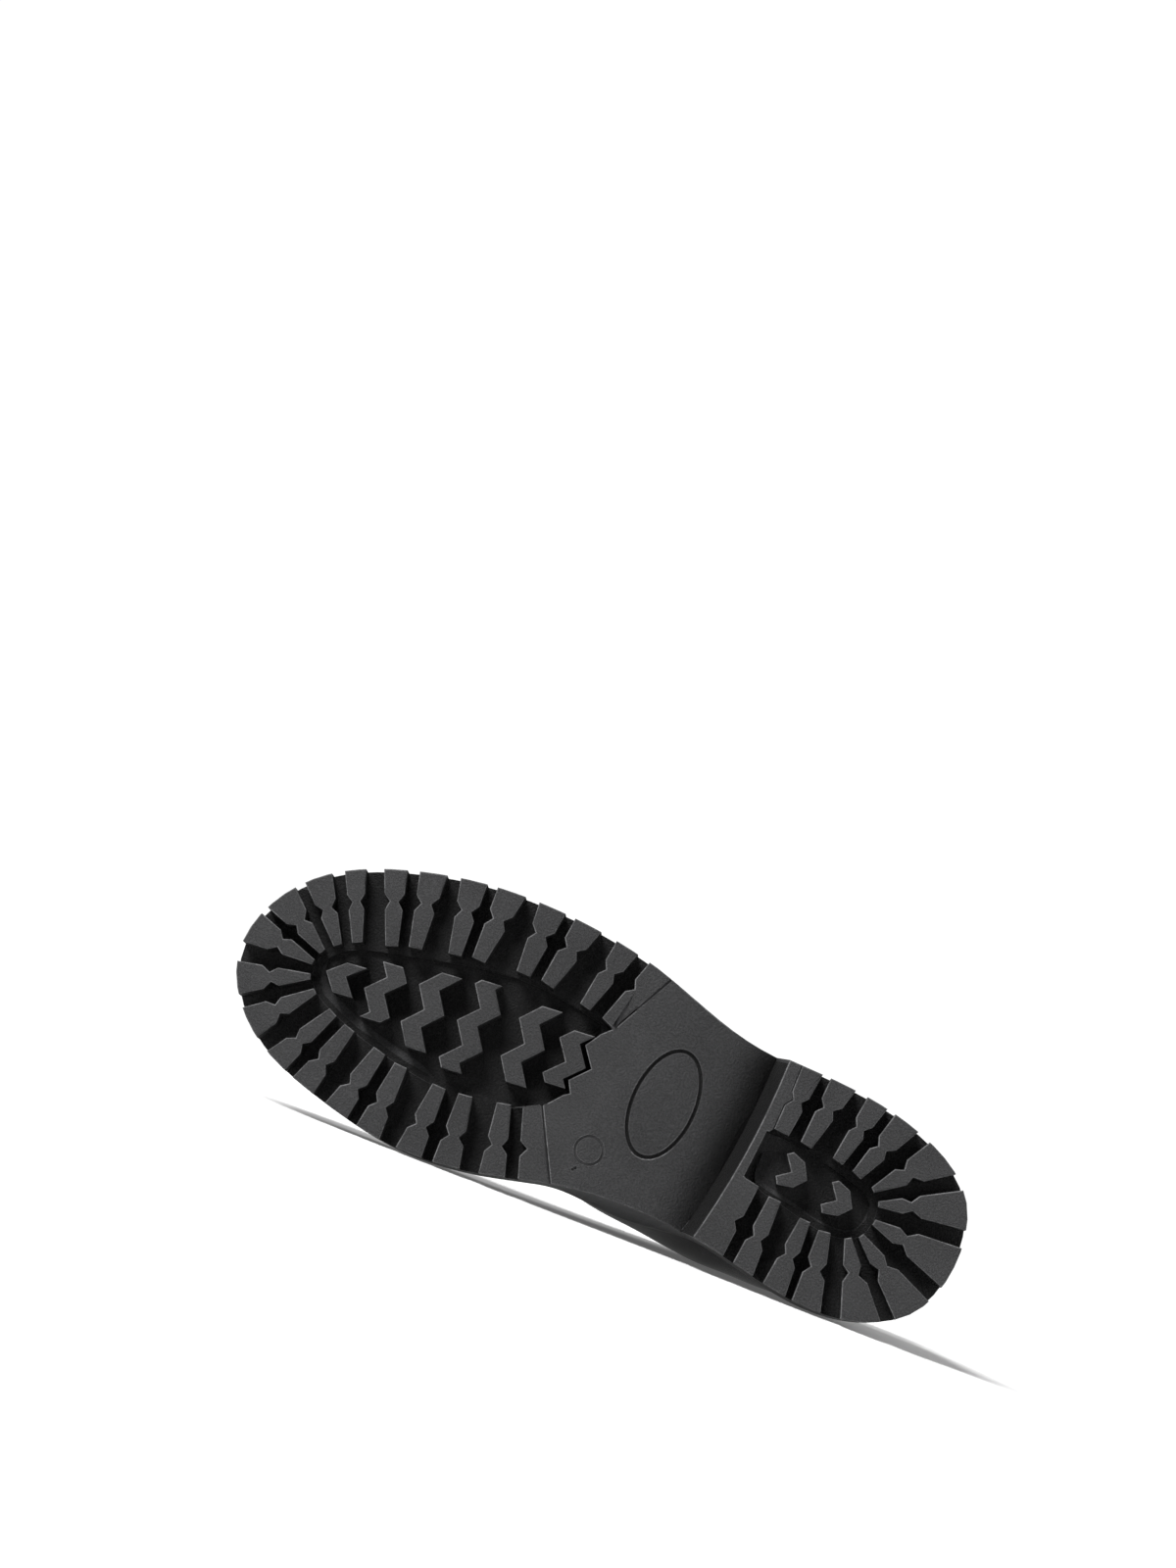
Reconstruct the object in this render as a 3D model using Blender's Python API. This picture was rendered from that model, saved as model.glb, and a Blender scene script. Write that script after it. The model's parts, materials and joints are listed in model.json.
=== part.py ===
"""A left lace-up ankle boot in black leather on a deep lugged rubber sole, lying on its medial side.

The boot is modelled standing: x runs from heel to toe, y to the lateral side and z up from the tread.
Tables and sizes are in millimetres. `lay_down` then turns the whole boot onto its medial side.
"""

import math
from collections import namedtuple

import bmesh
import bpy
import numpy as np
from mathutils import Matrix, Vector

MM = 0.001

# Driving sizes of the sole, from the tread up
LUG_DEPTH = 8.6  # grooves that open at the sole's edge
FIELD_DEPTH = 10.4  # the sunk field inside the ring of lugs
OUTSOLE = 20.0  # rubber under the ball of the foot
MIDSOLE = 3.2
WELT = 3.0
GAP = 0.3  # between pieces that meet
HEEL_RISE = 11.0  # how much thicker the sole is under the heel
HEEL_FRONT = (70.0, 165.0)  # x where that rise starts to fall and ends
SPRING_START = 205.0  # x from which the toe curls up
TOE_SPRING = 12.3
TOE_X = 303.0
ARCH_FLARE = 4.6  # how far the sole's medial side leans out by its top, under the arch
ARCH_REACH = (88.0, 158.0)  # x where that starts and ends

# Driving sizes of the upper
FEATHER_INSET = 8.2  # from the sole's edge in to the foot of the upper
VAMP_WALL = 2.2
QUARTER_WALL = 2.8
QUARTER_STEP = 1.6  # the quarter's cut edge stands proud of the vamp by this
COLLAR_PAD = 4.0  # extra thickness of the padded collar
INSOLE = 3.0
TONGUE = 3.6

# The edge of the sole, seen from below, once round from the back of the heel by the medial side
EdgePoint = namedtuple("EdgePoint", "place x y")
SOLE_EDGE = [
    EdgePoint("heel back", 0, -3),
    EdgePoint("heel corner, medial", 7.5, -26),
    EdgePoint("heel, medial", 34, -39.8),
    EdgePoint("breast, medial", 88, -36.2),
    EdgePoint("waist, medial", 112, -35.4),
    EdgePoint("waist front, medial", 148, -40.2),
    EdgePoint("ball rear, medial", 178, -49.3),
    EdgePoint("ball, medial", 211, -54.6),
    EdgePoint("ball front, medial", 250, -50.2),
    EdgePoint("big toe", 281.6, -39.3),
    EdgePoint("toe tip", 303.3, -12.3),
    EdgePoint("toe corner, lateral", 292.8, 21.8),
    EdgePoint("little toe", 257.4, 43.9),
    EdgePoint("ball front, lateral", 225.2, 52.5),
    EdgePoint("ball, lateral", 188, 55.2),
    EdgePoint("ball rear, lateral", 149.9, 51.3),
    EdgePoint("waist, lateral", 106, 41.9),
    EdgePoint("breast, lateral", 75, 41.8),
    EdgePoint("heel, lateral", 31.8, 37.3),
    EdgePoint("heel corner, lateral", 7, 23),
]

# Lugs: edge is how far round the sole's edge the lug's middle lies, from the back of the heel by the
# medial side; root is the middle of its inner end; notch is the place of its notches' points, as a
# share of its length from the edge.
Lug = namedtuple("Lug", "edge width root_x root_y root_width notch", defaults=(0.41,))
FOREFOOT_LUGS = [
    Lug(180.6, 12.0, 171, -17.6, 7.6),
    Lug(196.8, 10.2, 181.5, -21.5, 5.6),
    Lug(214.9, 10.7, 196.3, -25, 5.6),
    Lug(230.1, 10.7, 207, -26.4, 5.5),
    Lug(247.8, 10.5, 224, -25.6, 5.3),
    Lug(262.9, 10.5, 234, -24.1, 5.5),
    Lug(279.4, 10.5, 248.8, -21.1, 4.9),
    Lug(294.2, 10.5, 257.5, -18.4, 4.1),
    Lug(313.2, 13.5, 267.8, -14, 2.4, 0.43),
    Lug(332.5, 13.5, 272.2, -9.6, 2.3, 0.45),
    Lug(354.1, 13.3, 273.8, -4, 2.2, 0.46),
    Lug(370.8, 13.5, 272.4, 1.2, 2.6, 0.47),
    Lug(387.5, 11.4, 268, 6.1, 3.4, 0.46),
    Lug(402.7, 8.6, 261.4, 10.2, 4.1, 0.44),
    Lug(418.9, 9.4, 248.3, 14.6, 4.9, 0.42),
    Lug(434.1, 11.0, 239.5, 17.8, 5.3),
    Lug(450.5, 10.8, 224.3, 22.1, 5.2),
    Lug(466.0, 11.6, 215, 24.2, 5.5),
    Lug(483.2, 11.2, 196.8, 26.9, 5.8),
    Lug(498.8, 11.4, 186.6, 27.2, 5.8),
    Lug(516.4, 9.8, 169.6, 25.7, 4.6),
    Lug(532.1, 10.5, 158.8, 23.7, 6.2),
]
HEEL_LUGS = [
    Lug(602.7, 8.3, 80.6, 14.8, 6.3, 0.50),
    Lug(615.6, 10.6, 70, 14.5, 4.9),
    Lug(630.4, 8.8, 56.5, 14.1, 4.6, 0.44),
    Lug(643.9, 11.0, 47.8, 12.5, 4.4, 0.49),
    Lug(663.0, 15.6, 39.9, 10.1, 2.2, 0.49),
    Lug(685.1, 15.3, 35.8, 6.1, 2.2, 0.61),
    Lug(0.6, 16.8, 34.5, -0.8, 2.3, 0.60),
    Lug(23.6, 14.8, 36.8, -7.5, 2.3, 0.57),
    Lug(44.2, 15.4, 40.9, -10.5, 2.7, 0.56),
    Lug(65.6, 11.8, 49.9, -12.1, 4.8, 0.50),
    Lug(79.2, 9.8, 58.4, -11.4, 4.3, 0.48),
    Lug(93.2, 9.0, 72.1, -9.2, 5.0, 0.44),
    Lug(107.2, 10.0, 82.7, -7.2, 6.2, 0.46),
]
NOTCH_SPAN = (-0.10, 0.0, 0.11)  # start, point and end of a notch, along a lug's side
NOTCH_SHARE = 0.27  # depth of a notch as a share of the lug's width there

# What closes the plan of the grooves and of the field behind each row of lugs
FOREFOOT_REAR = [(160.4, 17.6), (163.6, 12.2), (157.5, 5.0), (163.6, -2.6), (160.8, -6.6)]
HEEL_REAR = [(85.9, -6.2), (85.2, 12.6)]
FOREFOOT_FIELD_REAR = [(159.8, 18.0), (163.0, 12.3), (156.9, 5.0), (163.0, -2.6), (160.2, -7.0)]
HEEL_FIELD_REAR = [(86.5, -6.6), (85.8, 13.0)]
FIELD_INSET = 2.6
CUT_BEYOND = 7.0  # how far a groove's cutter runs out past the edge
BAR_CLEAR = 0.05  # the bars inside the field stand this much short of the lugs

# Zigzag bars in the forefoot's field: first_y is their lateral end, first_turn +1 towards the toe
ZigZag = namedtuple("ZigZag", "x first_y step turns first_turn head tail")
ZIGZAGS = [
    ZigZag(260.3, 2.0, 6.4, 3, -1, 0.0, 0.0),
    ZigZag(243.5, 3.4, 7.5, 3, -1, 5.0, 3.2),
    ZigZag(224.6, 14.3, 8.0, 5, -1, 0.0, 0.0),
    ZigZag(205.0, 16.0, 7.9, 5, +1, 2.4, 3.4),
    ZigZag(183.6, 19.4, 8.1, 5, -1, 0.0, 0.0),
    ZigZag(166.2, 11.3, 7.5, 3, +1, 5.0, 3.0),
]
ZIGZAG_HALF_WIDTH = 4.1
ZIGZAG_SWING = 3.1
ZIGZAG_SKEW = 0.6

# The two chevrons of the heel: a corner is measured from the chevron's tip, which points to the back
CHEVRON = [(0, 0), (3.6, 5.8), (9, 7.5), (11.2, 5.8), (6.8, 0.3), (11.6, -3.6), (9.8, -6.4), (3.8, -4.8)]
CHEVRON_TIPS = [(64.0, 2.5), (44.0, 0.2)]

# The arch: the waist's underside, from the heel's breast to where it meets the lugs
WAIST = [(94.6, 13.2), (104, 11.2), (116, 7.8), (128, 4.6), (140, 2.0), (151, 0.0)]
BREAST_FOOT_X = 89.6
BREAST_TURN = -0.071  # the breast runs a little askew
BREAST_BOW = 0.00153  # and is hollow: its middle lies further back than its ends
BREAST_SLICES = (-40, -30, -20, -10, 0, 10, 20, 30, 40)

# Section of the welt: how far in from the sole's edge, and how high above the midsole
WELT_PROFILE = [
    (0.0, 0.4),
    (0.0, WELT - 0.4),
    (0.5, WELT),
    (3.0, WELT),
    (3.3, 4.2),
    (4.1, 5.1),
    (4.9, 5.1),
    (5.6, 4.3),
    (6.6, 2.2),
    (7.5, 0.0),
    (0.4, 0.0),
]
WELT_SECTIONS = 96

# Ribs of the upper, from the toe round to the back of the heel, the same on both sides. along: share
# of the way round the foot of the upper. The rib's head stands at x, spread from the crest, z. It
# leaves the foot at the angle lean for a reach of low, and comes into its head from a reach of high
# that points to the bearing aim (0 to the toe, 180 to the heel) and falls by the angle drop.
Rib = namedtuple("Rib", "along x spread z aim drop low high lean")
RIBS = [
    Rib(0.00, 262, 0, 64.5, 0, 7, 20, 25, 80),
    Rib(0.09, 257, 0, 65.5, 38, 8, 20, 27, 80),
    Rib(0.19, 246, 0, 67.5, 66, 9, 21, 29, 79),
    Rib(0.30, 226, 0, 71.5, 82, 11, 22, 31, 78),
    Rib(0.40, 204, 0, 77.5, 90, 13, 24, 31, 77),
    Rib(0.50, 186, 8, 85.0, 92, 20, 26, 28, 76),
    Rib(0.58, 168, 10, 99.0, 94, 30, 30, 30, 75),
    Rib(0.65, 150, 12, 118.5, 96, 44, 34, 33, 75),
    Rib(0.71, 133, 14, 140.0, 98, 62, 36, 38, 75),
    Rib(0.755, 118, 18.5, 156.5, 100, 78, 38, 43, 75),
    Rib(0.79, 106, 25.5, 160.0, 100, 86, 39, 46, 74),
    Rib(0.83, 88, 30.5, 159.5, 100, 90, 40, 48, 74),
    Rib(0.89, 56, 33, 157.0, 108, 91, 40, 48, 73),
    Rib(0.94, 30, 29, 157.0, 130, 93, 40, 47, 71),
    Rib(0.97, 18.5, 19.5, 158.5, 152, 95, 39, 46, 70),
    Rib(1.00, 12.5, 0, 160.0, 180, 96, 38, 46, 69),
]
TOE_EDGE = 340.4  # how far round the sole's edge the toe's rib stands
MEDIAL_BULGE = 6.8  # how much further the medial side stands out over the arch and the ankle
THROAT_ALONG = 0.47  # the vamp's crest ends here, and the throat opens
QUARTER_ALONG = 0.50  # the quarter's front edge runs down this rib
PAD_ALONG = (0.775, 0.84)  # the padding of the collar grows between these ribs
PAD_UP = (0.78, 0.92)  # and between these heights of a rib
COLLAR_ROLL = 0.6  # how far the padded rim rises, as a share of its padding

TONGUE_LAST = 0.755  # the last rib that the tongue follows, at the front of the collar
TONGUE_TOP = 174.0
TONGUE_LEAN = 0.42  # how far back it leans as it rises
TONGUE_REACH = 24.0  # how far the tongue runs under each facing
TONGUE_TAPER = 10.0  # how much of that it loses towards the collar
TONGUE_SHARES = (1.0, 0.62, 0.3, 0.0)  # of that reach, from its edge in
TONGUE_END = (17.0, 7.0, 5.0)  # its free end: half its width, how far its sides curl back and drop

EYELETS_ALONG = (0.53, 0.59, 0.65, 0.705)
EYELET_FROM_EDGE = 9.0  # from the facing's edge back to an eyelet's middle
EYELET_RADIUS = 4.2
EYELET_HOLE = 2.1
EYELET_THICK = 0.9
LACE_WIDTH = 5.0
LACE_THICK = 1.8

# Where the sole is cut across before it is bent, so that the bend comes out smooth
WAIST_SLICES = [96, 104, 116, 128, 140, 152]
SPRING_SLICES = [206, 218, 230, 241, 252, 262, 272, 281, 290, 297]
RISE_SLICES = [56, 68, 79, 90, 101, 112, 124, 136, 148, 160, 172]


# ---- curves -------------------------------------------------------------------------------------


def smooth(x, start, end):
    """0 before start, 1 after end and an even S between them."""
    t = np.clip((x - start) / (end - start), 0.0, 1.0)
    return t * t * (3 - 2 * t)


def spring(x):
    """How far the toe curls up at x."""
    return TOE_SPRING * (np.maximum(x - SPRING_START, 0) / (TOE_X - SPRING_START)) ** 2


def lift(x):
    """How far the top of the sole stands above its height at the ball."""
    return spring(x) + HEEL_RISE * (1 - smooth(x, *HEEL_FRONT))


def flared(x, y):
    """y moved out with the top of the sole's medial side, under the arch."""
    share = np.clip((x - ARCH_REACH[0]) / (ARCH_REACH[1] - ARCH_REACH[0]), 0.0, 1.0)
    return y - ARCH_FLARE * math.sin(math.pi * share) ** 2 * smooth(-y, 5.0, 25.0)


def crest_y(x):
    """The middle line of the last, which swings to the medial side towards the toe."""
    return -9.0 * smooth(x, 110.0, 275.0) - 2.0 * (1 - smooth(x, 0.0, 60.0))


class SoleEdge:
    """The closed, evenly curved line through the points of SOLE_EDGE, measured along its length."""

    SPAN_STEPS = 40
    STRETCH = 1.5

    def __init__(self, rows):
        knots = np.array([(row.x, row.y) for row in rows], float)
        self.points = self.through(knots)
        steps = np.linalg.norm(np.roll(self.points, -1, 0) - self.points, axis=1)
        self.length = steps.sum()
        self.places = np.append(0, np.cumsum(steps))

    def through(self, knots):
        """Points on the closed cubic spline through the knots."""
        count = len(knots)
        spans = np.linalg.norm(np.roll(knots, -1, 0) - knots, axis=1)
        matrix = np.zeros((count, count))
        right = np.zeros((count, 2))
        for i in range(count):
            before, after = spans[i - 1], spans[i]
            following = (i + 1) % count
            matrix[i, i - 1] = after
            matrix[i, i] = 2 * (before + after)
            matrix[i, following] = before
            into = (knots[i] - knots[i - 1]) * after / before
            out = (knots[following] - knots[i]) * before / after
            right[i] = 3 * (into + out)
        slopes = np.linalg.solve(matrix, right)
        t = np.arange(self.SPAN_STEPS)[:, None] / self.SPAN_STEPS
        stretches = []
        for i in range(count):
            following = (i + 1) % count
            stretches.append(
                (2 * t**3 - 3 * t**2 + 1) * knots[i]
                + (t**3 - 2 * t**2 + t) * spans[i] * slopes[i]
                + (3 * t**2 - 2 * t**3) * knots[following]
                + (t**3 - t**2) * spans[i] * slopes[following]
            )
        return np.concatenate(stretches)

    def at(self, place, inset=0.0):
        """The point this far round, moved inwards by inset."""
        closed = np.vstack([self.points, self.points[:1]])
        place = place % self.length
        x = np.interp(place, self.places, closed[:, 0])
        y = np.interp(place, self.places, closed[:, 1])
        point = np.array([x, y])
        return point - inset * self.outward(place) if inset else point

    def outward(self, place):
        """The unit normal that points away from the sole, read over a short stretch."""
        dx, dy = self.at(place + self.STRETCH) - self.at(place - self.STRETCH)
        return np.array([dy, -dx]) / math.hypot(dx, dy)

    def ring(self, count, inset=0.0):
        """Evenly spaced points all the way round."""
        return [self.at(self.length * i / count, inset) for i in range(count)]


EDGE = SoleEdge(SOLE_EDGE)


# ---- meshes -------------------------------------------------------------------------------------


def new_object(name, bm, material=None):
    """Turns a bmesh into a named object of the scene."""
    mesh = bpy.data.meshes.new(name)
    bm.to_mesh(mesh)
    bm.free()
    obj = bpy.data.objects.new(name, mesh)
    bpy.context.scene.collection.objects.link(obj)
    if material:
        mesh.materials.append(material)
    return obj


def vertex(bm, x, y, z):
    """A vertex from millimetres."""
    return bm.verts.new((float(x) * MM, float(y) * MM, float(z) * MM))


def prism(outline, low, high):
    """A bmesh with upright walls on a plan outline."""
    bm = bmesh.new()
    base = bm.faces.new([vertex(bm, x, y, low) for x, y in outline])
    base.normal_update()
    if base.normal.z > 0:
        base.normal_flip()
    grown = bmesh.ops.extrude_face_region(bm, geom=[base])["geom"]
    upper = [item for item in grown if isinstance(item, bmesh.types.BMVert)]
    bmesh.ops.translate(bm, verts=upper, vec=(0, 0, (high - low) * MM))
    bmesh.ops.recalc_face_normals(bm, faces=bm.faces[:])
    return bm


def helper(name, bm):
    """A cutter or an added shape, left out of the boot itself."""
    obj = new_object(name, bm)
    obj.hide_render = True
    obj.display_type = "WIRE"
    return obj


def combine(target, others):
    """Runs a Boolean for each (object, operation) and keeps the result in target's own mesh."""
    for other, operation in others:
        modifier = target.modifiers.new(other.name, "BOOLEAN")
        modifier.operation = operation
        modifier.object = other
        modifier.solver = "EXACT"
    bpy.context.view_layer.update()
    evaluated = target.evaluated_get(bpy.context.evaluated_depsgraph_get())
    result = bpy.data.meshes.new_from_object(evaluated)
    target.modifiers.clear()
    target.data = result
    for other, _ in others:
        bpy.data.objects.remove(other, do_unlink=True)


def bend(obj, slices, moved):
    """Cuts the mesh across at each x of slices and moves every vertex to the point moved(x, y, z)."""
    bm = bmesh.new()
    bm.from_mesh(obj.data)
    for x in slices:
        everything = bm.verts[:] + bm.edges[:] + bm.faces[:]
        at = Vector((x * MM, 0, 0))
        bmesh.ops.bisect_plane(bm, geom=everything, dist=1e-6, plane_co=at, plane_no=(1, 0, 0))
    for v in bm.verts:
        v.co = Vector([float(c) for c in moved(*(c / MM for c in v.co))]) * MM
    bmesh.ops.triangulate(bm, faces=bm.faces[:])
    bmesh.ops.dissolve_degenerate(bm, dist=1e-6, edges=bm.edges[:])
    bm.to_mesh(obj.data)
    bm.free()


def closed_ring(sections):
    """A bmesh through a closed run of sections, each a closed loop of (x, y, z)."""
    bm = bmesh.new()
    loops = [[vertex(bm, *point) for point in section] for section in sections]
    for here, there in zip(loops, loops[1:] + loops[:1]):
        for i in range(len(here)):
            j = (i + 1) % len(here)
            bm.faces.new([here[i], here[j], there[j], there[i]])
    bmesh.ops.recalc_face_normals(bm, faces=bm.faces[:])
    return bm


def material(name, colour, roughness, metallic=0.0):
    """A plain Principled material."""
    made = bpy.data.materials.new(name)
    made.use_nodes = True
    shader = made.node_tree.nodes["Principled BSDF"]
    shader.inputs["Base Color"].default_value = (*colour, 1.0)
    shader.inputs["Roughness"].default_value = roughness
    shader.inputs["Metallic"].default_value = metallic
    return made


# ---- the sole -----------------------------------------------------------------------------------


def lug_sides(lug):
    """The two long sides of a lug, each from the edge to the root with its notch between."""
    root = np.array([lug.root_x, lug.root_y])
    edge_middle = EDGE.at(lug.edge)
    axis = (root - edge_middle) / np.linalg.norm(root - edge_middle)
    across = np.array([axis[1], -axis[0]])
    if across @ (EDGE.at(lug.edge + 1) - edge_middle) < 0:
        across = -across
    sides = []
    for sign in (-1, +1):
        outer = EDGE.at(lug.edge + sign * lug.width / 2)
        inner = root + sign * across * lug.root_width / 2
        start, point, end = (outer + (inner - outer) * (lug.notch + step) for step in NOTCH_SPAN)
        width = lug.width + (lug.root_width - lug.width) * lug.notch
        point = point - sign * across * width * NOTCH_SHARE
        sides.append([outer, start, point, end, inner])
    return sides


def beyond_edge(side):
    """A point straight out from a lug's side, past the sole's edge."""
    outward = (side[0] - side[-1]) / np.linalg.norm(side[0] - side[-1])
    return side[0] + CUT_BEYOND * outward


def groove_outline(lugs, rear):
    """The plan of everything between and inside a row of lugs, closed by the points of rear."""
    outline = []
    for number, lug in enumerate(lugs):
        first, second = lug_sides(lug)
        if number > 0:
            outline += [beyond_edge(first), *first[1:-1]]
        outline += [first[-1], second[-1]]
        if number < len(lugs) - 1:
            outline += [*second[-2:0:-1], beyond_edge(second)]
    return outline + rear


def field_outline(lugs, rear):
    """The sunk field: a smooth plan just inside the roots of the lugs."""
    roots = np.array([(lug.root_x, lug.root_y) for lug in lugs])
    inward = roots.mean(axis=0) - roots
    inward /= np.linalg.norm(inward, axis=1)[:, None]
    return list(roots + FIELD_INSET * inward) + rear


def zigzag_outline(bar):
    """A zigzag bar: its spine turns to and fro, and both sides follow it."""
    spine = []
    for i in range(bar.turns):
        swing = ZIGZAG_SWING * bar.first_turn * (-1) ** i
        spine.append((bar.x + swing, bar.first_y - bar.step * i))
    slope = 2 * ZIGZAG_SWING / bar.step
    if bar.head:
        x, y = spine[0]
        spine.insert(0, (x - bar.first_turn * slope * bar.head, y + bar.head))
    if bar.tail:
        x, y = spine[-1]
        last_turn = bar.first_turn * (-1) ** (bar.turns - 1)
        spine.append((x - last_turn * slope * bar.tail, y - bar.tail))
    heelward = [(x - ZIGZAG_HALF_WIDTH, y + ZIGZAG_SKEW) for x, y in spine]
    toeward = [(x + ZIGZAG_HALF_WIDTH, y - ZIGZAG_SKEW) for x, y in spine]
    return heelward + toeward[::-1]


def waist_cutter():
    """Everything under the arch, from the breast of the heel forward."""
    low = -6.0
    half_width = 70.0
    profile = [(BREAST_FOOT_X - 1.4, low), (BREAST_FOOT_X, 0), *WAIST, (151.5, low)]
    bm = bmesh.new()
    side = bm.faces.new([vertex(bm, x, -half_width, z) for x, z in profile])
    grown = bmesh.ops.extrude_face_region(bm, geom=[side])["geom"]
    moved = [item for item in grown if isinstance(item, bmesh.types.BMVert)]
    bmesh.ops.translate(bm, verts=moved, vec=(0, 2 * half_width * MM, 0))
    for y in BREAST_SLICES:
        everything = [*bm.verts, *bm.edges, *bm.faces]
        bmesh.ops.bisect_plane(bm, geom=everything, dist=1e-7, plane_co=(0, y * MM, 0), plane_no=(0, 1, 0))
    for v in bm.verts:
        if v.co.x < (WAIST[0][0] + 1.0) * MM:
            y = float(np.clip(v.co.y / MM, -46.0, 46.0))
            v.co.x += (BREAST_TURN * y + BREAST_BOW * y * y) * MM
    bmesh.ops.recalc_face_normals(bm, faces=bm.faces[:])
    return bm


def make_outsole(rubber):
    """One moulded unit: slab, heel, waist, ring of notched lugs and the bars inside it."""
    outsole = new_object("outsole", prism(EDGE.ring(112), 0, OUTSOLE), rubber)
    fore_field = field_outline(FOREFOOT_LUGS, FOREFOOT_FIELD_REAR)
    heel_field = field_outline(HEEL_LUGS, HEEL_FIELD_REAR)
    cuts = [
        ("waist", waist_cutter()),
        ("fore_grooves", prism(groove_outline(FOREFOOT_LUGS, FOREFOOT_REAR), -4, LUG_DEPTH)),
        ("heel_grooves", prism(groove_outline(HEEL_LUGS, HEEL_REAR), -4, LUG_DEPTH)),
        ("fore_field", prism(fore_field, -5, FIELD_DEPTH)),
        ("heel_field", prism(heel_field, -5, FIELD_DEPTH)),
    ]
    steps = [(helper(name, bm), "DIFFERENCE") for name, bm in cuts]
    buried = FIELD_DEPTH + 3.0
    for number, bar in enumerate(ZIGZAGS):
        bm = prism(zigzag_outline(bar), BAR_CLEAR, buried)
        steps.append((helper(f"zigzag_{number}", bm), "UNION"))
    for number, (tip_x, tip_y) in enumerate(CHEVRON_TIPS):
        corners = [(tip_x + x, tip_y + y) for x, y in CHEVRON]
        steps.append((helper(f"chevron_{number}", prism(corners, BAR_CLEAR, buried)), "UNION"))
    combine(outsole, steps)

    def moved(x, y, z):
        foot = np.interp(x, *zip(*WAIST))
        share = np.clip((z - foot) / (OUTSOLE - foot), 0.0, 1.0)
        raised = z + lift(x) if z > OUTSOLE - 0.1 else z + spring(x)
        return x, y + (flared(x, y) - y) * share, raised

    bend(outsole, WAIST_SLICES + SPRING_SLICES + RISE_SLICES, moved)
    return outsole


def make_midsole(rubber):
    """The thin layer between the outsole and the welt, with the same outline."""
    low = OUTSOLE + GAP
    midsole = new_object("midsole", prism(EDGE.ring(96), low, low + MIDSOLE), rubber)
    bend(midsole, SPRING_SLICES + RISE_SLICES, lambda x, y, z: (x, flared(x, y), z + lift(x)))
    return midsole


def feather_height(x):
    """Where the foot of the upper, the welt and the insole stand."""
    return OUTSOLE + GAP + MIDSOLE + GAP + lift(x)


def make_welt(leather):
    """A flat strip round the foot of the upper, with a rolled bead that closes against it."""
    sections = []
    for i in range(WELT_SECTIONS):
        place = EDGE.length * i / WELT_SECTIONS
        section = []
        for inset, height in WELT_PROFILE:
            x, y = EDGE.at(place, inset)
            section.append((x, flared(x, y), feather_height(x) + height))
        sections.append(section)
    return new_object("welt", closed_ring(sections), leather)


def make_insole(leather):
    """The board inside the boot, clear of the wall all round."""
    inset = FEATHER_INSET + QUARTER_WALL + 2 * GAP
    insole = new_object("insole", prism(EDGE.ring(72, inset), 0, INSOLE), leather)
    slices = SPRING_SLICES[:-1] + RISE_SLICES
    bend(insole, slices, lambda x, y, z: (x, flared(x, y), z + feather_height(x)))
    return insole


# ---- the upper ----------------------------------------------------------------------------------


def ease(table, at):
    """Each column of the ribs' table at this place, on a smooth curve through its rows.

    Both sides meet at the first and the last row, so all but spread and aim are level there.
    """
    rows = np.array(table, float)
    places = rows[:, 0]
    slopes = np.gradient(rows, places, axis=0)
    for name in ("x", "z", "drop", "low", "high", "lean"):
        column = Rib._fields.index(name)
        slopes[0, column] = 0.0
        slopes[-1, column] = 0.0
    i = int(np.clip(np.searchsorted(places, at, side="right") - 1, 0, len(rows) - 2))
    span = places[i + 1] - places[i]
    t = (at - places[i]) / span
    return (
        (2 * t**3 - 3 * t**2 + 1) * rows[i]
        + (t**3 - 2 * t**2 + t) * span * slopes[i]
        + (3 * t**2 - 2 * t**3) * rows[i + 1]
        + (t**3 - t**2) * span * slopes[i + 1]
    )


def rib_points(side, along):
    """The four control points of the rib on this side (+1 lateral, -1 medial)."""
    rib = Rib(*ease(RIBS, along))
    opened = np.clip((along - THROAT_ALONG) / (QUARTER_ALONG - THROAT_ALONG), 0.0, 1.0)
    spread = max(rib.spread, 0.0) * math.sqrt(opened * (2 - opened))
    way = EDGE.length - TOE_EDGE if side > 0 else TOE_EDGE
    place = TOE_EDGE + side * way * along
    foot_x, foot_y = EDGE.at(place, FEATHER_INSET)
    out = EDGE.outward(place)
    foot = np.array([foot_x, flared(foot_x, foot_y), feather_height(foot_x)])
    lean = math.radians(rib.lean)
    low = foot + rib.low * np.array([*(out * math.cos(lean)), math.sin(lean)])
    head = np.array([rib.x, crest_y(rib.x) + side * spread, rib.z])
    aim, drop = math.radians(rib.aim), math.radians(rib.drop)
    bearing = np.array([math.cos(aim), side * math.sin(aim)]) * math.cos(drop)
    high = head + rib.high * np.array([*bearing, -math.sin(drop)])
    return foot, low, high, head


def bezier(knots, t):
    """The point at t on the cubic curve with these four control points."""
    a, b, c, d = (np.array(knot) for knot in knots)
    return (1 - t) ** 3 * a + 3 * (1 - t) ** 2 * t * b + 3 * (1 - t) * t**2 * c + t**3 * d


def bulge(along, up):
    """How far the medial side stands out here beyond its ribs. The facing's edge stays where it is."""
    length = smooth(along, 0.50, 0.70) * (1 - smooth(along, 0.71, 0.84))
    kept = smooth(along, 0.76, 0.81)
    return MEDIAL_BULGE * length * smooth(up, 0.0, 0.4) * (1 - (1 - kept) * smooth(up, 0.5, 0.9))


def upper_point(side, along, up):
    """A point on the outer face of the last: up runs from 0 at the foot to 1 at the head."""
    point = bezier(rib_points(side, along), up)
    if side < 0:
        point[1] -= bulge(along, up)
    return point


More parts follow.
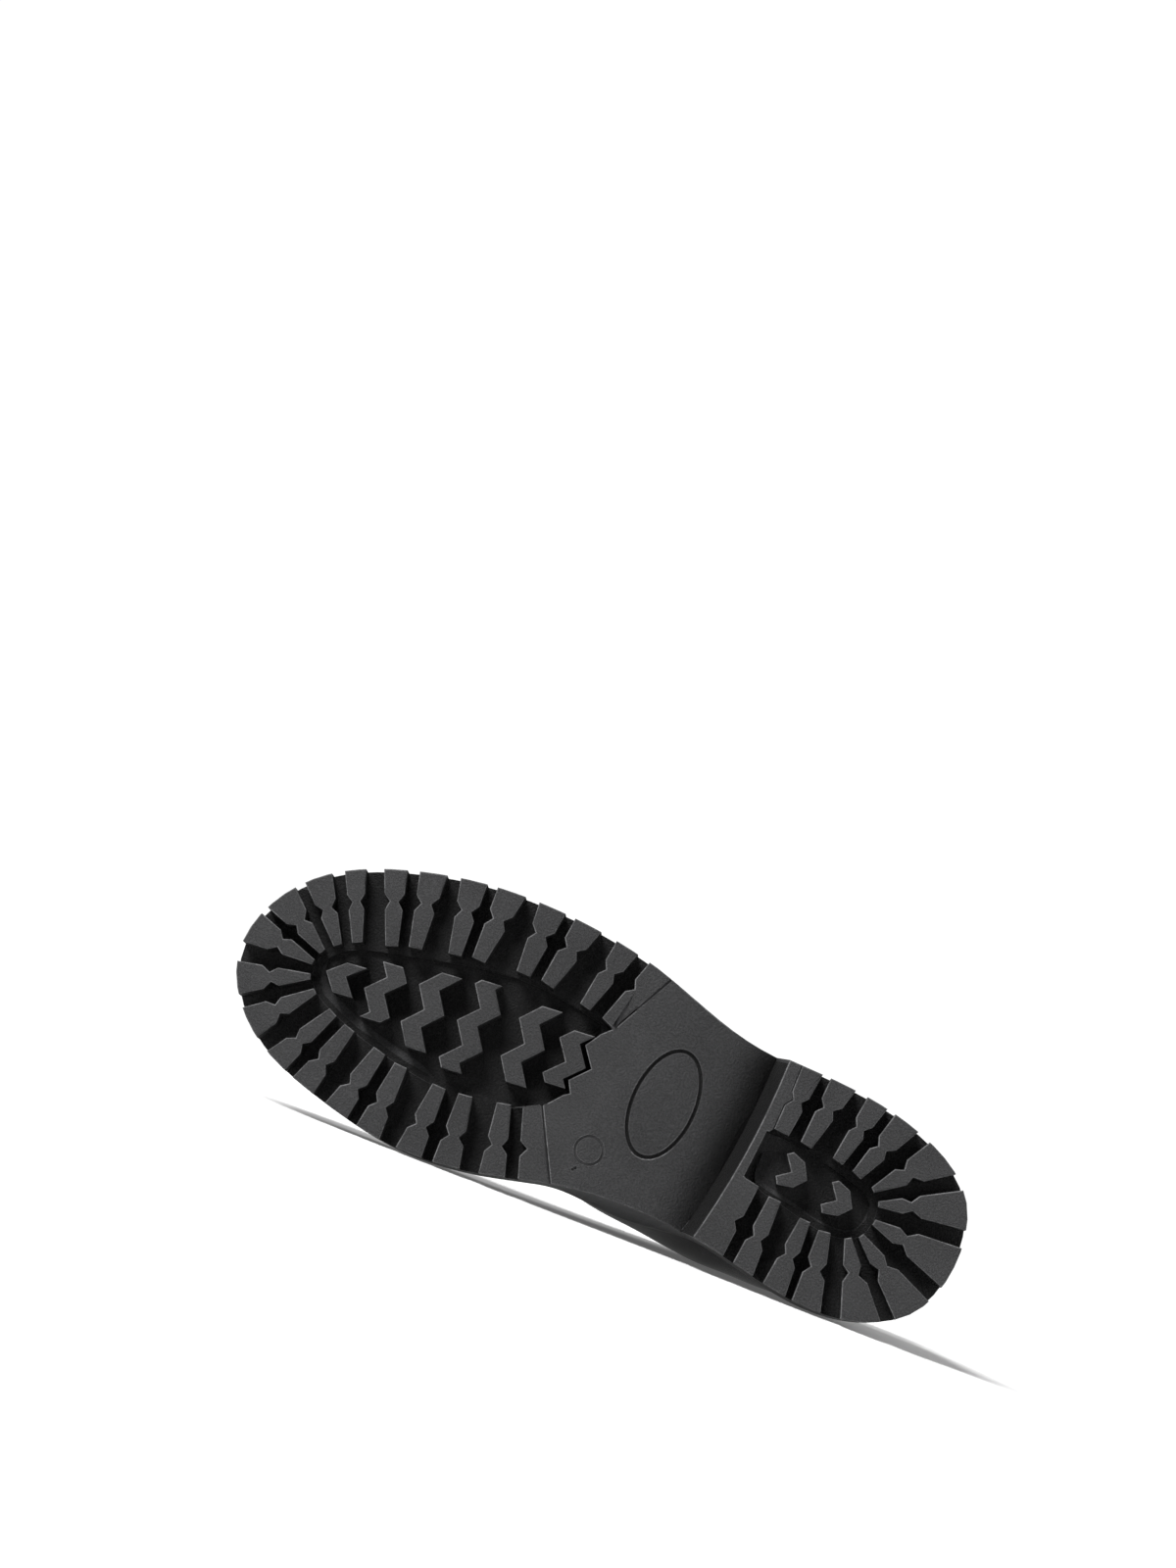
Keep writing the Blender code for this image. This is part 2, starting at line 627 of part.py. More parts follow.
def upper_normal(side, along, up):
    """The outward normal there. The ribs of the toe share their heads, so it is read just short of them."""
    step = 0.004
    along = min(max(along, 0.02), 1 - step)
    up = min(max(up, step), 0.97)
    a0, a1 = along - step, along + step
    u0, u1 = up - step, up + step
    across = upper_point(side, a1, up) - upper_point(side, a0, up)
    rise = upper_point(side, along, u1) - upper_point(side, along, u0)
    normal = side * np.cross(across, rise)
    return normal / np.linalg.norm(normal)


def wall(along, up):
    """Thickness of the upper, which grows into the padded collar."""
    plain = VAMP_WALL if along <= QUARTER_ALONG else QUARTER_WALL
    return plain + COLLAR_PAD * smooth(along, *PAD_ALONG) * smooth(up, *PAD_UP)


def make_upper(leather):
    """Vamp and quarters as one hollow shell, open at the collar, down the throat and underneath."""
    vamp = list(np.linspace(0, THROAT_ALONG, 11))
    throat = [THROAT_ALONG + (QUARTER_ALONG - THROAT_ALONG) * share for share in (0.12, 0.5, 1.0)]
    shares = 1 - (1 - np.linspace(0, 1, 18)) ** 1.25
    cut_edge = QUARTER_ALONG + 0.004
    quarter = list(cut_edge + (1 - cut_edge) * shares)
    stations = [(a, 0.0) for a in vamp + throat] + [(a, QUARTER_STEP) for a in quarter]
    heights = [1 - (1 - share) ** 1.15 for share in np.linspace(0, 1, 13)]
    bm = bmesh.new()
    made = {}

    last_row = len(heights) - 1

    def corner(face, side, column, row):
        """One vertex of the outer or the inner face, shared where the two sides meet."""
        along, step = stations[column]
        up = heights[row]
        closed = row == last_row and along <= THROAT_ALONG
        both = along == 0.0 or along >= 1.0 or closed
        key = (face, 0 if both else side, column, row)
        if key not in made:
            point = upper_point(side, along, up)
            normal = upper_normal(side, along, up)
            if both:
                other = upper_normal(-side, along, up)
                normal = (normal + other) / np.linalg.norm(normal + other)
            reach = -wall(along, up) if face == "inner" else step * smooth(up, 0.0, 0.12)
            made[key] = vertex(bm, *(point + reach * normal))
        return made[key]

    def crown(side, column):
        """The middle of the rim at the top, which the collar's padding raises into a roll."""
        along = stations[column][0]
        if along == THROAT_ALONG:
            return corner("outer", side, column, last_row)
        key = ("crown", 0 if along >= 1.0 else side, column)
        if key not in made:
            edges = [corner(face, side, column, last_row).co / MM for face in ("outer", "inner")]
            rise = upper_point(side, along, 1.0) - upper_point(side, along, 0.96)
            roll = COLLAR_ROLL * (wall(along, 1.0) - QUARTER_WALL) / np.linalg.norm(rise)
            made[key] = vertex(bm, *((edges[0] + edges[1]) / 2 + Vector(rise * max(roll, 0.0))))
        return made[key]

    for side in (+1, -1):
        for column in range(len(stations) - 1):
            for row in range(last_row):
                for face in ("outer", "inner"):
                    left = [corner(face, side, column, at) for at in (row, row + 1)]
                    right = [corner(face, side, column + 1, at) for at in (row + 1, row)]
                    bm.faces.new(left + right)
            outer = [corner("outer", side, at, 0) for at in (column, column + 1)]
            inner = [corner("inner", side, at, 0) for at in (column + 1, column)]
            bm.faces.new(outer + inner)
            if stations[column + 1][0] > THROAT_ALONG:
                for face in ("outer", "inner"):
                    edge = [corner(face, side, at, last_row) for at in (column, column + 1)]
                    roll = [crown(side, at) for at in (column + 1, column)]
                    bm.faces.new(edge + [v for v in roll if v not in edge])
    bmesh.ops.recalc_face_normals(bm, faces=bm.faces[:])
    return new_object("upper", bm, leather)


def from_head(side, along, distance):
    """The height up on a rib that lies this far below its head."""
    up, length = 1.0, 0.0
    while length < distance and up > 0.02:
        length += np.linalg.norm(upper_point(side, along, up) - upper_point(side, along, up - 0.01))
        up -= 0.01
    return up


def tongue_section(along):
    """Seven points across the tongue, from its medial edge to its lateral one."""
    reach = TONGUE_REACH - TONGUE_TAPER * smooth(along, 0.60, TONGUE_LAST)
    clear = QUARTER_WALL + 1.0 + 0.9 * (1 - smooth(along, QUARTER_ALONG, 0.56))
    points = {}
    for side in (-1, +1):
        points[side] = []
        for share in TONGUE_SHARES:
            up = from_head(side, along, reach * share)
            inward = -clear * upper_normal(side, along, up)
            points[side].append(upper_point(side, along, up) + inward)
    middle = (points[-1][-1] + points[+1][-1]) / 2
    return np.array([*points[-1][:-1], middle, *points[+1][-2::-1]])


def tongue_top(base, share):
    """The free end of the tongue: share of the way from its last rib up to a curved, rounded edge."""
    half_width, curl, droop = TONGUE_END
    across = np.linspace(-1, 1, len(base))
    x, y, z = base[len(base) // 2]
    x -= TONGUE_LEAN * (TONGUE_TOP - z)
    end = np.stack([x - curl * across**2, y + half_width * across, TONGUE_TOP - droop * np.abs(across) ** 3])
    return base + share * (end.T - base)


def make_tongue(leather):
    """A strip that lies under the vamp and both facings and stands out above the collar."""
    sections = [tongue_section(along) for along in np.linspace(0.40, TONGUE_LAST, 14)]
    sections += [tongue_top(sections[13], share) for share in (0.4, 0.75, 1.0)]
    sections = np.array(sections)
    normals = np.cross(np.gradient(sections, axis=0), np.gradient(sections, axis=1))
    normals /= np.linalg.norm(normals, axis=2)[:, :, None]
    if normals[:, :, 2].mean() > 0:
        normals = -normals
    bm = bmesh.new()
    sheets = []
    for points in (sections, sections + TONGUE * normals):
        sheets.append([[vertex(bm, *point) for point in row] for row in points])
    rows, columns = len(sections), len(sections[0])
    for sheet in sheets:
        for i in range(rows - 1):
            for j in range(columns - 1):
                bm.faces.new([sheet[i][j], sheet[i + 1][j], sheet[i + 1][j + 1], sheet[i][j + 1]])
    border = [(i, 0) for i in range(rows)]
    border += [(rows - 1, j) for j in range(1, columns)]
    border += [(i, columns - 1) for i in range(rows - 2, -1, -1)]
    border += [(0, j) for j in range(columns - 2, 0, -1)]
    for (i, j), (k, m) in zip(border, border[1:] + border[:1]):
        bm.faces.new([sheets[0][i][j], sheets[0][k][m], sheets[1][k][m], sheets[1][i][j]])
    bmesh.ops.recalc_face_normals(bm, faces=bm.faces[:])
    return new_object("tongue", bm, leather)


def eyelet_frame(side, along):
    """Centre and outward normal of an eyelet's seat on the facing."""
    up = from_head(side, along, EYELET_FROM_EDGE)
    normal = upper_normal(side, along, up)
    seat = upper_point(side, along, up) + (QUARTER_STEP + 1.6 * GAP) * normal
    return Vector(seat), Vector(normal)


def make_eyelet(name, side, along, metal):
    """A flanged ring that stands on the facing."""
    seat, normal = eyelet_frame(side, along)
    turn = normal.to_track_quat("Z", "Y").to_matrix()
    count = 16
    rim = EYELET_RADIUS - 0.5
    top = EYELET_THICK
    profile = [(EYELET_HOLE, 0), (EYELET_RADIUS, 0), (rim, top), (EYELET_HOLE, top)]
    sections = []
    for i in range(count):
        angle = 2 * math.pi * i / count
        section = []
        for radius, height in profile:
            offset = Vector((radius * math.cos(angle), radius * math.sin(angle), height))
            section.append(seat + turn @ offset)
        sections.append(section)
    return new_object(name, closed_ring(sections), metal)


def lace_run(start, start_up, end, end_up):
    """Sections of a flat lace that leaves one eyelet flat on its face and comes down flat on another."""
    steps = 8
    span = end - start
    leave = (span - start_up * span.dot(start_up)).normalized()
    arrive = (span - end_up * span.dot(end_up)).normalized()
    reach = 0.42 * span.length
    first = start - leave * EYELET_HOLE
    last = end + arrive * EYELET_HOLE
    knots = (first, first + leave * reach, last - arrive * reach, last)
    centres = [Vector(bezier(knots, i / steps)) for i in range(steps + 1)]
    sections = []
    for i, centre in enumerate(centres):
        ahead = centres[min(i + 1, steps)] - centres[max(i - 1, 0)]
        up = start_up.lerp(end_up, i / steps)
        up = (up - ahead * up.dot(ahead) / ahead.length_squared).normalized()
        edge = ahead.cross(up).normalized() * LACE_WIDTH / 2
        top = up * LACE_THICK
        sections.append([centre - edge, centre + edge, centre + edge + top, centre - edge + top])
    return sections


def open_run(sections):
    """A bmesh through a run of sections, closed at both ends."""
    bm = bmesh.new()
    loops = [[vertex(bm, *point) for point in section] for section in sections]
    for here, there in zip(loops, loops[1:]):
        for i in range(4):
            j = (i + 1) % 4
            bm.faces.new([here[i], here[j], there[j], there[i]])
    bm.faces.new(loops[0])
    bm.faces.new(loops[-1])
    bmesh.ops.recalc_face_normals(bm, faces=bm.faces[:])
    return bm


def make_laces(cord):
    """A straight bar at the lowest eyelets, and a crossing from each pair up to the next."""
    above = EYELET_THICK + 5 * GAP
    rest = LACE_THICK + 3 * GAP
    arriving = {}
    leaving = {}
    for number, along in enumerate(EYELETS_ALONG):
        for side in (+1, -1):
            seat, normal = eyelet_frame(side, along)
            arriving[side, number] = (seat + normal * above, normal)
            leaving[side, number] = (seat + normal * (above + rest), normal)
    bar = open_run(lace_run(*arriving[-1, 0], *arriving[+1, 0]))
    made = [new_object("lace_bar", bar, cord)]
    for number in range(len(EYELETS_ALONG) - 1):
        first = open_run(lace_run(*leaving[-1, number], *arriving[+1, number + 1]))
        second = open_run(lace_run(*leaving[+1, number], *arriving[-1, number + 1]))
        crossing = new_object(f"lace_crossing_{number + 1}", first, cord)
        combine(crossing, [(helper(f"lace_over_{number + 1}", second), "UNION")])
        made.append(crossing)
    return made


# ---- the pose -----------------------------------------------------------------------------------


def resting_turn(points):
    """The tilt and turn that bring forefoot, heel and collar down onto one floor, medial side down."""
    forefoot = points[(points[:, 0] > 150) & (points[:, 2] < 60)]
    heel = points[(points[:, 0] < 95) & (points[:, 2] < 60)]
    collar = points[points[:, 2] > 90]

    def lowest(group, down):
        return group[np.argmax(group @ down)]

    down = np.array([0.0, -1.0, 0.0])
    for _ in range(60):
        a, b, c = (lowest(group, down) for group in (forefoot, heel, collar))
        normal = np.cross(b - a, c - a)
        normal /= np.linalg.norm(normal)
        down = normal if normal[1] < 0 else -normal
    return down


def lay_down(objects):
    """Parents everything to one empty, which lays the boot on its medial side with its toe to -X."""
    bpy.context.view_layer.update()
    points = np.array([v.co / MM for obj in objects for v in obj.data.vertices])
    down = Vector(resting_turn(points))
    up = -down
    toe_to_heel = Vector((-1, 0, 0))
    along = (toe_to_heel - up * toe_to_heel.dot(up)).normalized()
    turn = Matrix((along, up.cross(along), up))
    placed = points @ np.array(turn).T * MM
    low, high = placed.min(axis=0), placed.max(axis=0)
    stand = bpy.data.objects.new("boot", None)
    bpy.context.scene.collection.objects.link(stand)
    for obj in objects:
        obj.parent = stand
    centre = Vector((-(low[0] + high[0]) / 2, -(low[1] + high[1]) / 2, -low[2]))
    stand.matrix_world = Matrix.Translation(centre) @ turn.to_4x4()


def main():
    """Builds every piece standing, then lays the boot down."""
    for obj in list(bpy.data.objects):
        bpy.data.objects.remove(obj, do_unlink=True)
    rubber = material("sole_rubber", (0.030, 0.030, 0.032), 0.62)
    edge_rubber = material("midsole_rubber", (0.022, 0.022, 0.023), 0.55)
    leather = material("upper_leather", (0.012, 0.012, 0.013), 0.22)
    welt_leather = material("welt_leather", (0.014, 0.014, 0.015), 0.30)
    lining = material("lining_leather", (0.10, 0.065, 0.045), 0.7)
    metal = material("eyelet_metal", (0.02, 0.02, 0.02), 0.35, 1.0)
    cord = material("lace_cord", (0.015, 0.015, 0.016), 0.85)

    boot = [
        make_outsole(rubber),
        make_midsole(edge_rubber),
        make_welt(welt_leather),
        make_insole(lining),
        make_upper(leather),
        make_tongue(leather),
    ]
    for number, along in enumerate(EYELETS_ALONG, 1):
        for side, word in ((+1, "lateral"), (-1, "medial")):
            boot.append(make_eyelet(f"eyelet_{word}_{number}", side, along, metal))
    boot += make_laces(cord)
    for obj in boot:
        obj.data.shade_smooth()
        obj.data.set_sharp_from_angle(angle=math.radians(35))
    lay_down(boot)


main()
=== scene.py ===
"""Looks of a left lace-up ankle boot: black leather on a deep lugged rubber sole, lying on its medial side.

Every piece is built in the boot's own frame, in millimetres: x runs from the heel to the toe, y to the
lateral side and z up from the tread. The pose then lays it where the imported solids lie.
"""

from __future__ import annotations

import json
import logging
import math
from dataclasses import dataclass, field
from enum import Enum
from functools import lru_cache
from typing import Any, Callable, NamedTuple, Sequence

import bmesh
import bpy
import numpy as np
from bmesh.types import BMEdge, BMesh, BMFace
from mathutils import Matrix, Vector

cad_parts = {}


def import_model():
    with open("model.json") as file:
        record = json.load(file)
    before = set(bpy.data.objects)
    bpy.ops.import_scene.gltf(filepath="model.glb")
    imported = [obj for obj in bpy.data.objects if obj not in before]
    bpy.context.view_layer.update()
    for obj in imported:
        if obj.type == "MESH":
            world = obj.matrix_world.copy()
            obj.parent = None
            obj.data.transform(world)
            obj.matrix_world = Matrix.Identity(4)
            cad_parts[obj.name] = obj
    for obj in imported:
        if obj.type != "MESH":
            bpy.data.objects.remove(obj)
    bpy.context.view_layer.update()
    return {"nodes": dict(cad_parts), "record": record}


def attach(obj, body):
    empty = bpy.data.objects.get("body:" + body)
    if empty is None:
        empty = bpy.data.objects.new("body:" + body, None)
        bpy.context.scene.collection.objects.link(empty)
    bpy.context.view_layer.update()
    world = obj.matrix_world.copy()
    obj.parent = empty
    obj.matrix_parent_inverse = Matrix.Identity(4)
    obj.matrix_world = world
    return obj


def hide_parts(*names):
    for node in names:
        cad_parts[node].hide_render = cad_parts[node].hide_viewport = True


LOG = logging.getLogger("boot")
MM = 0.001
SIDES = {+1: "lateral", -1: "medial"}  # the sign of y on each side
WHITE = (1.0, 1.0, 1.0, 1.0)
BREAST = (89.6, -0.071, 0.00153)  # x at the foot of the heel's breast, by powers of y
Point = Sequence[float]
Section = Sequence[Point]
Pair = tuple[float, float]
Triple = tuple[float, float, float]
Knot = tuple[Vector, Vector]  # a point and the way that the surface looks there
Finishes = Sequence[bpy.types.Material]


class Slot(Enum):
    """The record's material slots."""

    SOLE = "sole_rubber"
    MIDSOLE = "midsole_rubber"
    UPPER = "upper_leather"
    WELT = "welt_leather"
    LINING = "lining_leather"
    METAL = "eyelet_metal"
    LACE = "lace_cord"


# ---- the boot's own frame -----------------------------------------------------------------------


@dataclass(frozen=True)
class Pose:
    """How the standing boot lies in the row's frame, read from the two mounts on its tread.

    Attributes:
        heel_lug: middle of the heel lug that carries one mount, in the boot's millimetres.
        fore_lug: middle of the forefoot lug that carries the other.
    """

    heel_lug: Triple = (11.7272, -2.4551, 0.0)
    fore_lug: Triple = (184.2613, 35.9435, 0.0)

    def place(self, record: dict[str, Any]) -> Matrix:
        """The matrix from the boot's millimetres to the row's metres.

        Args:
            record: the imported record, whose mounts give the plane of the tread.

        Returns:
            One matrix with scale, turn and place.
        """
        mounts = {mount["name"]: mount for mount in record["mounts"]}
        heel, fore = (Vector(mounts[name]["pos_m"]) for name in ("heel_tread", "forefoot_tread"))
        up = -Vector(mounts["heel_tread"]["axis"]).normalized()
        run = fore - heel
        ahead = (run - up * run.dot(up)).normalized()
        across = up.cross(ahead)
        step = Vector(self.fore_lug) - Vector(self.heel_lug)
        angle = math.atan2(step.y, step.x)
        toeward = ahead * math.cos(angle) - across * math.sin(angle)
        turn = Matrix((toeward, up.cross(toeward), up)).transposed().to_4x4()
        scaled = turn @ Matrix.Scale(MM, 4)
        return Matrix.Translation(heel - scaled @ Vector(self.heel_lug)) @ scaled


def smooth(x: float, start: float, end: float) -> float:
    """0 before start, 1 after end and an even S between them."""
    t = min(max((x - start) / (end - start), 0.0), 1.0)
    return t * t * (3 - 2 * t)


def mix(a: Any, b: Any, share: float) -> Any:
    """The value that lies this share of the way from a to b."""
    return a + (b - a) * share


def bell(x: float, middle: float, width: float) -> float:
    """1 at the middle, falling evenly to nothing over a few widths."""
    return math.exp(-(((x - middle) / width) ** 2))


def curve(t: Any, span: float, ends: tuple[Any, Any], slopes: tuple[Any, Any]) -> Any:
    """A cubic that leaves one value and comes to the next with the slopes it has there.

    Args:
        t: how far along it, from 0 to 1.
        span: how long it is, in the measure of the slopes.
        ends: its values at 0 and 1.
        slopes: its slopes there.

    Returns:
        The value at t.
    """
    return (
        (2 * t**3 - 3 * t**2 + 1) * ends[0]
        + (t**3 - 2 * t**2 + t) * span * slopes[0]
        + (3 * t**2 - 2 * t**3) * ends[1]
        + (t**3 - t**2) * span * slopes[1]
    )


def tone(colour: Point, factor: float) -> Point:
    """The colour made darker or lighter by a factor."""
    return tuple(factor * part for part in colour)


# ---- meshes -------------------------------------------------------------------------------------


def skin(columns: int, rows: int, place: Callable[[float, float], Point], weld: float = 0.003) -> BMesh:
    """A grid whose corners go to their places, with edges that meet welded.

    Args:
        columns: faces across, as u goes from 0 to 1.
        rows: faces along, as v goes from 0 to 1.
        place: gives the corner at u and v.
        weld: corners this close become one.

    Returns:
        The bmesh, with u and v in its UV map.
    """
    bm = bmesh.new()
    bm.loops.layers.uv.new("UVMap")
    bmesh.ops.create_grid(bm, x_segments=columns, y_segments=rows, size=1.0, calc_uvs=True)
    for vert in bm.verts:
        vert.co = Vector(place((vert.co.x + 1) / 2, (vert.co.y + 1) / 2))
    bmesh.ops.remove_doubles(bm, verts=bm.verts[:], dist=weld)
    return bm


def sweep(sections: Sequence[Section], closed: bool) -> BMesh:
    """A tube through closed sections.

    Args:
        sections: loops of points, all of one length.
        closed: whether the last section joins the first. If not, both ends are capped.

    Returns:
        The bmesh of one closed body.
    """
    around, along = len(sections[0]), len(sections)
    rows = along if closed else along - 1

    def place(u: float, v: float) -> Point:
        """The corner that belongs at u round and v along."""
        return sections[round(v * rows) % along][round(u * around) % around]

    bm = skin(around, rows, place)
    if not closed:
        rim = [edge for edge in bm.edges if edge.is_boundary]
        bmesh.ops.holes_fill(bm, edges=rim, sides=0)
    bmesh.ops.recalc_face_normals(bm, faces=bm.faces[:])
    return bm


def bevelled(bm: BMesh, edges: Sequence[BMEdge], size: float) -> list[BMFace]:
    """Rounds edges off in two steps.

    Args:
        bm: the mesh.
        edges: those that are rounded off.
        size: how wide.

    Returns:
        The new faces.
    """
    return bmesh.ops.bevel(
        bm,
        geom=edges,
        offset=size,
        segments=2,
        affect="EDGES",
        profile=0.5,
        material=-1,
        clamp_overlap=True,
    )["faces"]


def mesh_of(name: str, bm: BMesh) -> bpy.types.Mesh:
    """Turns a bmesh into a mesh.

    Args:
        name: the mesh's name.
        bm: its shape, used up here.

    Returns:
        The mesh.
    """
    mesh = bpy.data.meshes.new(name)
    bm.to_mesh(mesh)
    bm.free()
    return mesh


def add(name: str, data: bpy.types.ID) -> bpy.types.Object:
    """Puts a new object in the scene.

    Args:
        name: the object's name.
        data: its mesh, light or camera.

    Returns:
        The object.
    """
    obj = bpy.data.objects.new(name, data)
    bpy.context.scene.collection.objects.link(obj)
    return obj


@dataclass
class Workshop:
    """Turns bmeshes in the boot's millimetres into pieces that ride on the boot.

    Attributes:
        place: from the boot's millimetres to the row's metres.
        nodes: the CAD nodes by name.
    """

    place: Matrix
    nodes: dict[str, bpy.types.Object]

    def copy_of(self, node: str, weld: float = 0.004) -> BMesh:
        """The CAD node's mesh in the boot's millimetres, with its loose triangles welded.

        Args:
            node: the node's name.
            weld: corners this close become one.

        Returns:
            The bmesh.
        """
        bm = bmesh.new()
        bm.from_mesh(self.nodes[node].data)
        bmesh.ops.transform(bm, matrix=self.place.inverted(), verts=bm.verts[:])
        bmesh.ops.remove_doubles(bm, verts=bm.verts[:], dist=weld)
        bmesh.ops.dissolve_degenerate(bm, edges=bm.edges[:], dist=weld / 4)
        return bm

    def carve(self, bm: BMesh, cutters: Sequence[BMesh]) -> BMesh:
        """Takes each cutter away from a shape.

        Args:
            bm: the shape, used up here.
            cutters: used up too.

        Returns:
            What is left.
        """
        target = add("carved", mesh_of("carved", bm))
        others = [add("cutter", mesh_of("cutter", cutter)) for cutter in cutters]
        for other in others:
            modifier = target.modifiers.new(other.name, "BOOLEAN")
            modifier.operation = "DIFFERENCE"
            modifier.object = other
            modifier.solver = "EXACT"
        bpy.context.view_layer.update()
        evaluated = target.evaluated_get(bpy.context.evaluated_depsgraph_get())
        result = bmesh.new()
        mesh = bpy.data.meshes.new_from_object(evaluated)
        result.from_mesh(mesh)
        bpy.data.meshes.remove(mesh)
        for obj in [target, *others]:
            bpy.data.objects.remove(obj, do_unlink=True)
        return result

    def _aim(self, mesh: bpy.types.Mesh) -> None:
        """Turns the shading where the mesh says which way its surface really looks.

        Args:
            mesh: holds those directions in its attribute aim.
        """
        layer = mesh.attributes.get("aim")
        if layer is None:
            return
        turn = self.place.to_quaternion()
        aims = [turn @ Vector(corner.vector) for corner in layer.data]
        mesh.attributes.remove(layer)
        mesh.normals_split_custom_set([aim.normalized() if aim.length > 0.5 else aim for aim in aims])

    def piece(
        self,
        name: str,
        bm: BMesh,
        finishes: Finishes,
        slot: Slot,
        replaces: Sequence[str] = (),
        sharp: float = 35.0,
    ) -> bpy.types.Object:
        """A finished piece that rides on the boot.

        Args:
            name: the piece's own name.
            bm: its shape in the boot's millimetres, used up here.
            finishes: its materials, in the order of its faces' indices.
            slot: the record's slot that the piece stands for; not used.
            replaces: the CAD nodes it stands for.
            sharp: edges that turn by more than this many degrees stay crisp.

        Returns:
            The object, at the origin, with its place in its mesh.
        """
        bmesh.ops.transform(bm, matrix=self.place, verts=bm.verts[:])
        mesh = mesh_of(name, bm)
        for finish in finishes:
            mesh.materials.append(finish)
        mesh.shade_smooth()
        mesh.set_sharp_from_angle(angle=math.radians(sharp))
        self._aim(mesh)
        obj = add(name, mesh)
        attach(obj, "root")
        if replaces:
            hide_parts(*replaces)
        triangles = sum(len(face.vertices) - 2 for face in mesh.polygons)
        LOG.info("%s: %d triangles", name, triangles)
        return obj


# ---- materials ----------------------------------------------------------------------------------


class Flow:
    """A socket's value, whose arithmetic adds Math nodes."""

    def __init__(self, graph: Graph, socket: bpy.types.NodeSocket) -> None:
        """Wraps one output socket of the graph."""
        self.graph = graph
        self.socket = socket

    def out(self, name: str | int) -> Flow:
        """Another output of the same node."""
        return Flow(self.graph, self.socket.node.outputs[name])

    def math(self, operation: str, *others: Any) -> Flow:
        """The Math node of this name on this value and the others."""
        return self.graph.math(operation, self, *others)

    def __add__(self, other: Any) -> Flow:
        """Their sum."""
        return self.math("ADD", other)

    __radd__ = __add__

    def __sub__(self, other: Any) -> Flow:
        """What is left of this."""
        return self.math("SUBTRACT", other)

    def __rsub__(self, other: Any) -> Flow:
        """What is left of the other."""
        return self.graph.math("SUBTRACT", other, self)

    def __mul__(self, other: Any) -> Flow:
        """Their product."""
        return self.math("MULTIPLY", other)

    __rmul__ = __mul__

    def step(self, low: float, high: float) -> Flow:
        """A smooth step; low may be the higher one.

        Args:
            low: where it is 0.
            high: where it is 1.

        Returns:
            The step, 0 or 1 beyond its ends.
        """
        settings = {"interpolation_type": "SMOOTHSTEP", "clamp": True}
        if low < high:
            return self.graph.node("ShaderNodeMapRange", settings, {0: self, 1: low, 2: high})
        return self.graph.node("ShaderNodeMapRange", settings, {0: self, 1: high, 2: low, 3: 1.0, 4: 0.0})


